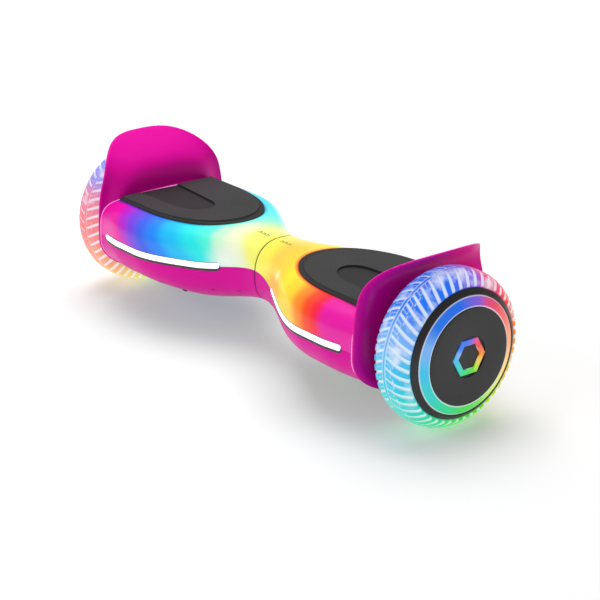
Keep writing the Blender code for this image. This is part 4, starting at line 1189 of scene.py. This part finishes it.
screw_steel = metal("screw_steel", (0.05, 0.05, 0.055), 0.35, 800.0, 0.00003)
screw = screw_mesh()
screw_places = ((0.044, 0.0), (0.108, -0.052), (0.108, 0.052), (0.190, -0.050), (0.190, 0.050), (0.150, 0.0))
seat_depth, step = 0.0004, 0.002
for side, sign in HALVES:
    for number, (x, y) in enumerate(screw_places, 1):
        slope = (belly_z(x, y + step) - belly_z(x, y - step)) / (2 * step)
        mesh = screw.copy()
        seat = Matrix.Translation((sign * x, y, belly_z(x, y) + seat_depth))
        mesh.transform(seat @ Matrix.Rotation(math.atan(slope), 4, "X"))
        moulding(side + "_screw_" + str(number), mesh, screw_steel, side + "_half")


# ---------------------------------------------------------------- charge marks
# Three short bars over a line, printed in grey on the top of each half beside the seam. They stand a tenth of
# a millimetre proud of the upper shell.


def skin_top(x, y):
    """The height of the upper skin at this place."""
    upper = exponents(x)[0]
    share = min(abs(y) / half_width(x), 1.0)
    return middle_height(x) + (top_height(x) - middle_height(x)) * (1 - share ** upper) ** (1 / upper)


def printed_bar(x0, x1, y0, y1):
    """A thin strip that lies on the upper skin."""
    proud, root = 0.00012, -0.0004
    rows = []
    for y in stations(y0, y1, 6):
        places = ((x0, proud), (x1, proud), (x1, root), (x0, root))
        rows.append([(x, y, skin_top(x, y) + lift) for x, lift in places])
    return skin("mark", rows)


mark_grey = matte_plastic("mark_grey", (0.12, 0.11, 0.08), 0.5)
first_bar, bar_length, bar_pitch = 0.0110, 0.0038, 0.0062
bar_starts = [first_bar + bar_pitch * i for i in range(3)]
bars = [printed_bar(start, start + bar_length, -0.0074, -0.0062) for start in bar_starts]
marks = bundle(bars + [printed_bar(0.0100, 0.0286, -0.0094, -0.0088)])
for side, sign in HALVES:
    moulding(side + "_charge_marks", handed(marks, sign), mark_grey, side + "_half")


# ---------------------------------------------------------------- floor, lights and camera
# A plain pale studio floor under a white sky, a broad soft light above and behind, a weak one in front, and a
# narrow strip overhead, the only lamp that glossy pieces mirror.


def studio_floor():
    shape = bmesh.new()
    bmesh.ops.create_grid(shape, x_segments=1, y_segments=1, size=12.0)
    mesh = bpy.data.meshes.new("floor")
    shape.to_mesh(mesh)
    shape.free()
    floor = put("floor", mesh)
    material, _, _, shader = finish("floor_white", (0.68, 0.68, 0.68), 0.75)
    shader.inputs["Specular IOR Level"].default_value = 0.10
    shader.inputs["Emission Color"].default_value = (1.0, 1.0, 1.0, 1.0)
    shader.inputs["Emission Strength"].default_value = 0.24
    mesh.materials.append(material)


def soft_light(name, power, size, place, aim, shine=False):
    """A rectangular lamp aimed at a point; shine lets glossy pieces mirror it."""
    lamp = bpy.data.lights.new(name, "AREA")
    lamp.energy = power
    lamp.shape = "RECTANGLE"
    lamp.size, lamp.size_y = size
    item = bpy.data.objects.new(name, lamp)
    bpy.context.scene.collection.objects.link(item)
    item.location = place
    item.rotation_euler = (Vector(aim) - Vector(place)).to_track_quat("-Z", "Y").to_euler()
    item.visible_glossy = shine


def studio_camera():
    """A long lens to the front and the +X side, looking a little down on the board."""
    turn, rise, roll = math.radians(51.45), math.radians(21.17), math.radians(0.37)
    target, distance = Vector((0.2196, -0.1480, 0.1524)), 1.8432
    back = Vector((math.sin(turn) * math.cos(rise), -math.cos(turn) * math.cos(rise), math.sin(rise)))
    right = Vector((math.cos(turn), math.sin(turn), 0.0))
    up = back.cross(right)
    right, up = right * math.cos(roll) + up * math.sin(roll), up * math.cos(roll) - right * math.sin(roll)
    camera = bpy.data.objects.new("camera", bpy.data.cameras.new("camera"))
    bpy.context.scene.collection.objects.link(camera)
    facing = Matrix((right, up, back)).transposed().to_4x4()
    camera.matrix_world = Matrix.Translation(target + back * distance) @ facing
    camera.data.lens = 116.44
    camera.data.sensor_width = 36.0
    bpy.context.scene.camera = camera


studio_floor()
sky = bpy.data.worlds.new("studio")
sky.use_nodes = True
background = sky.node_tree.nodes["Background"]
background.inputs["Color"].default_value = (1.0, 1.0, 1.0, 1.0)
background.inputs["Strength"].default_value = 0.34
bpy.context.scene.world = sky
body_middle = (0.0, 0.0, 0.08)
soft_light("key", 200.0, (4.4, 4.0), (-1.5, 1.1, 4.2), body_middle)
soft_light("front_fill", 12.0, (1.6, 0.8), (-0.4, -2.0, 1.2), body_middle)
soft_light("strip", 4.0, (1.6, 0.08), (-0.4, -0.3, 1.6), (0.0, 0.0, 0.10), True)
studio_camera()
bpy.context.scene.view_settings.view_transform = "Standard"
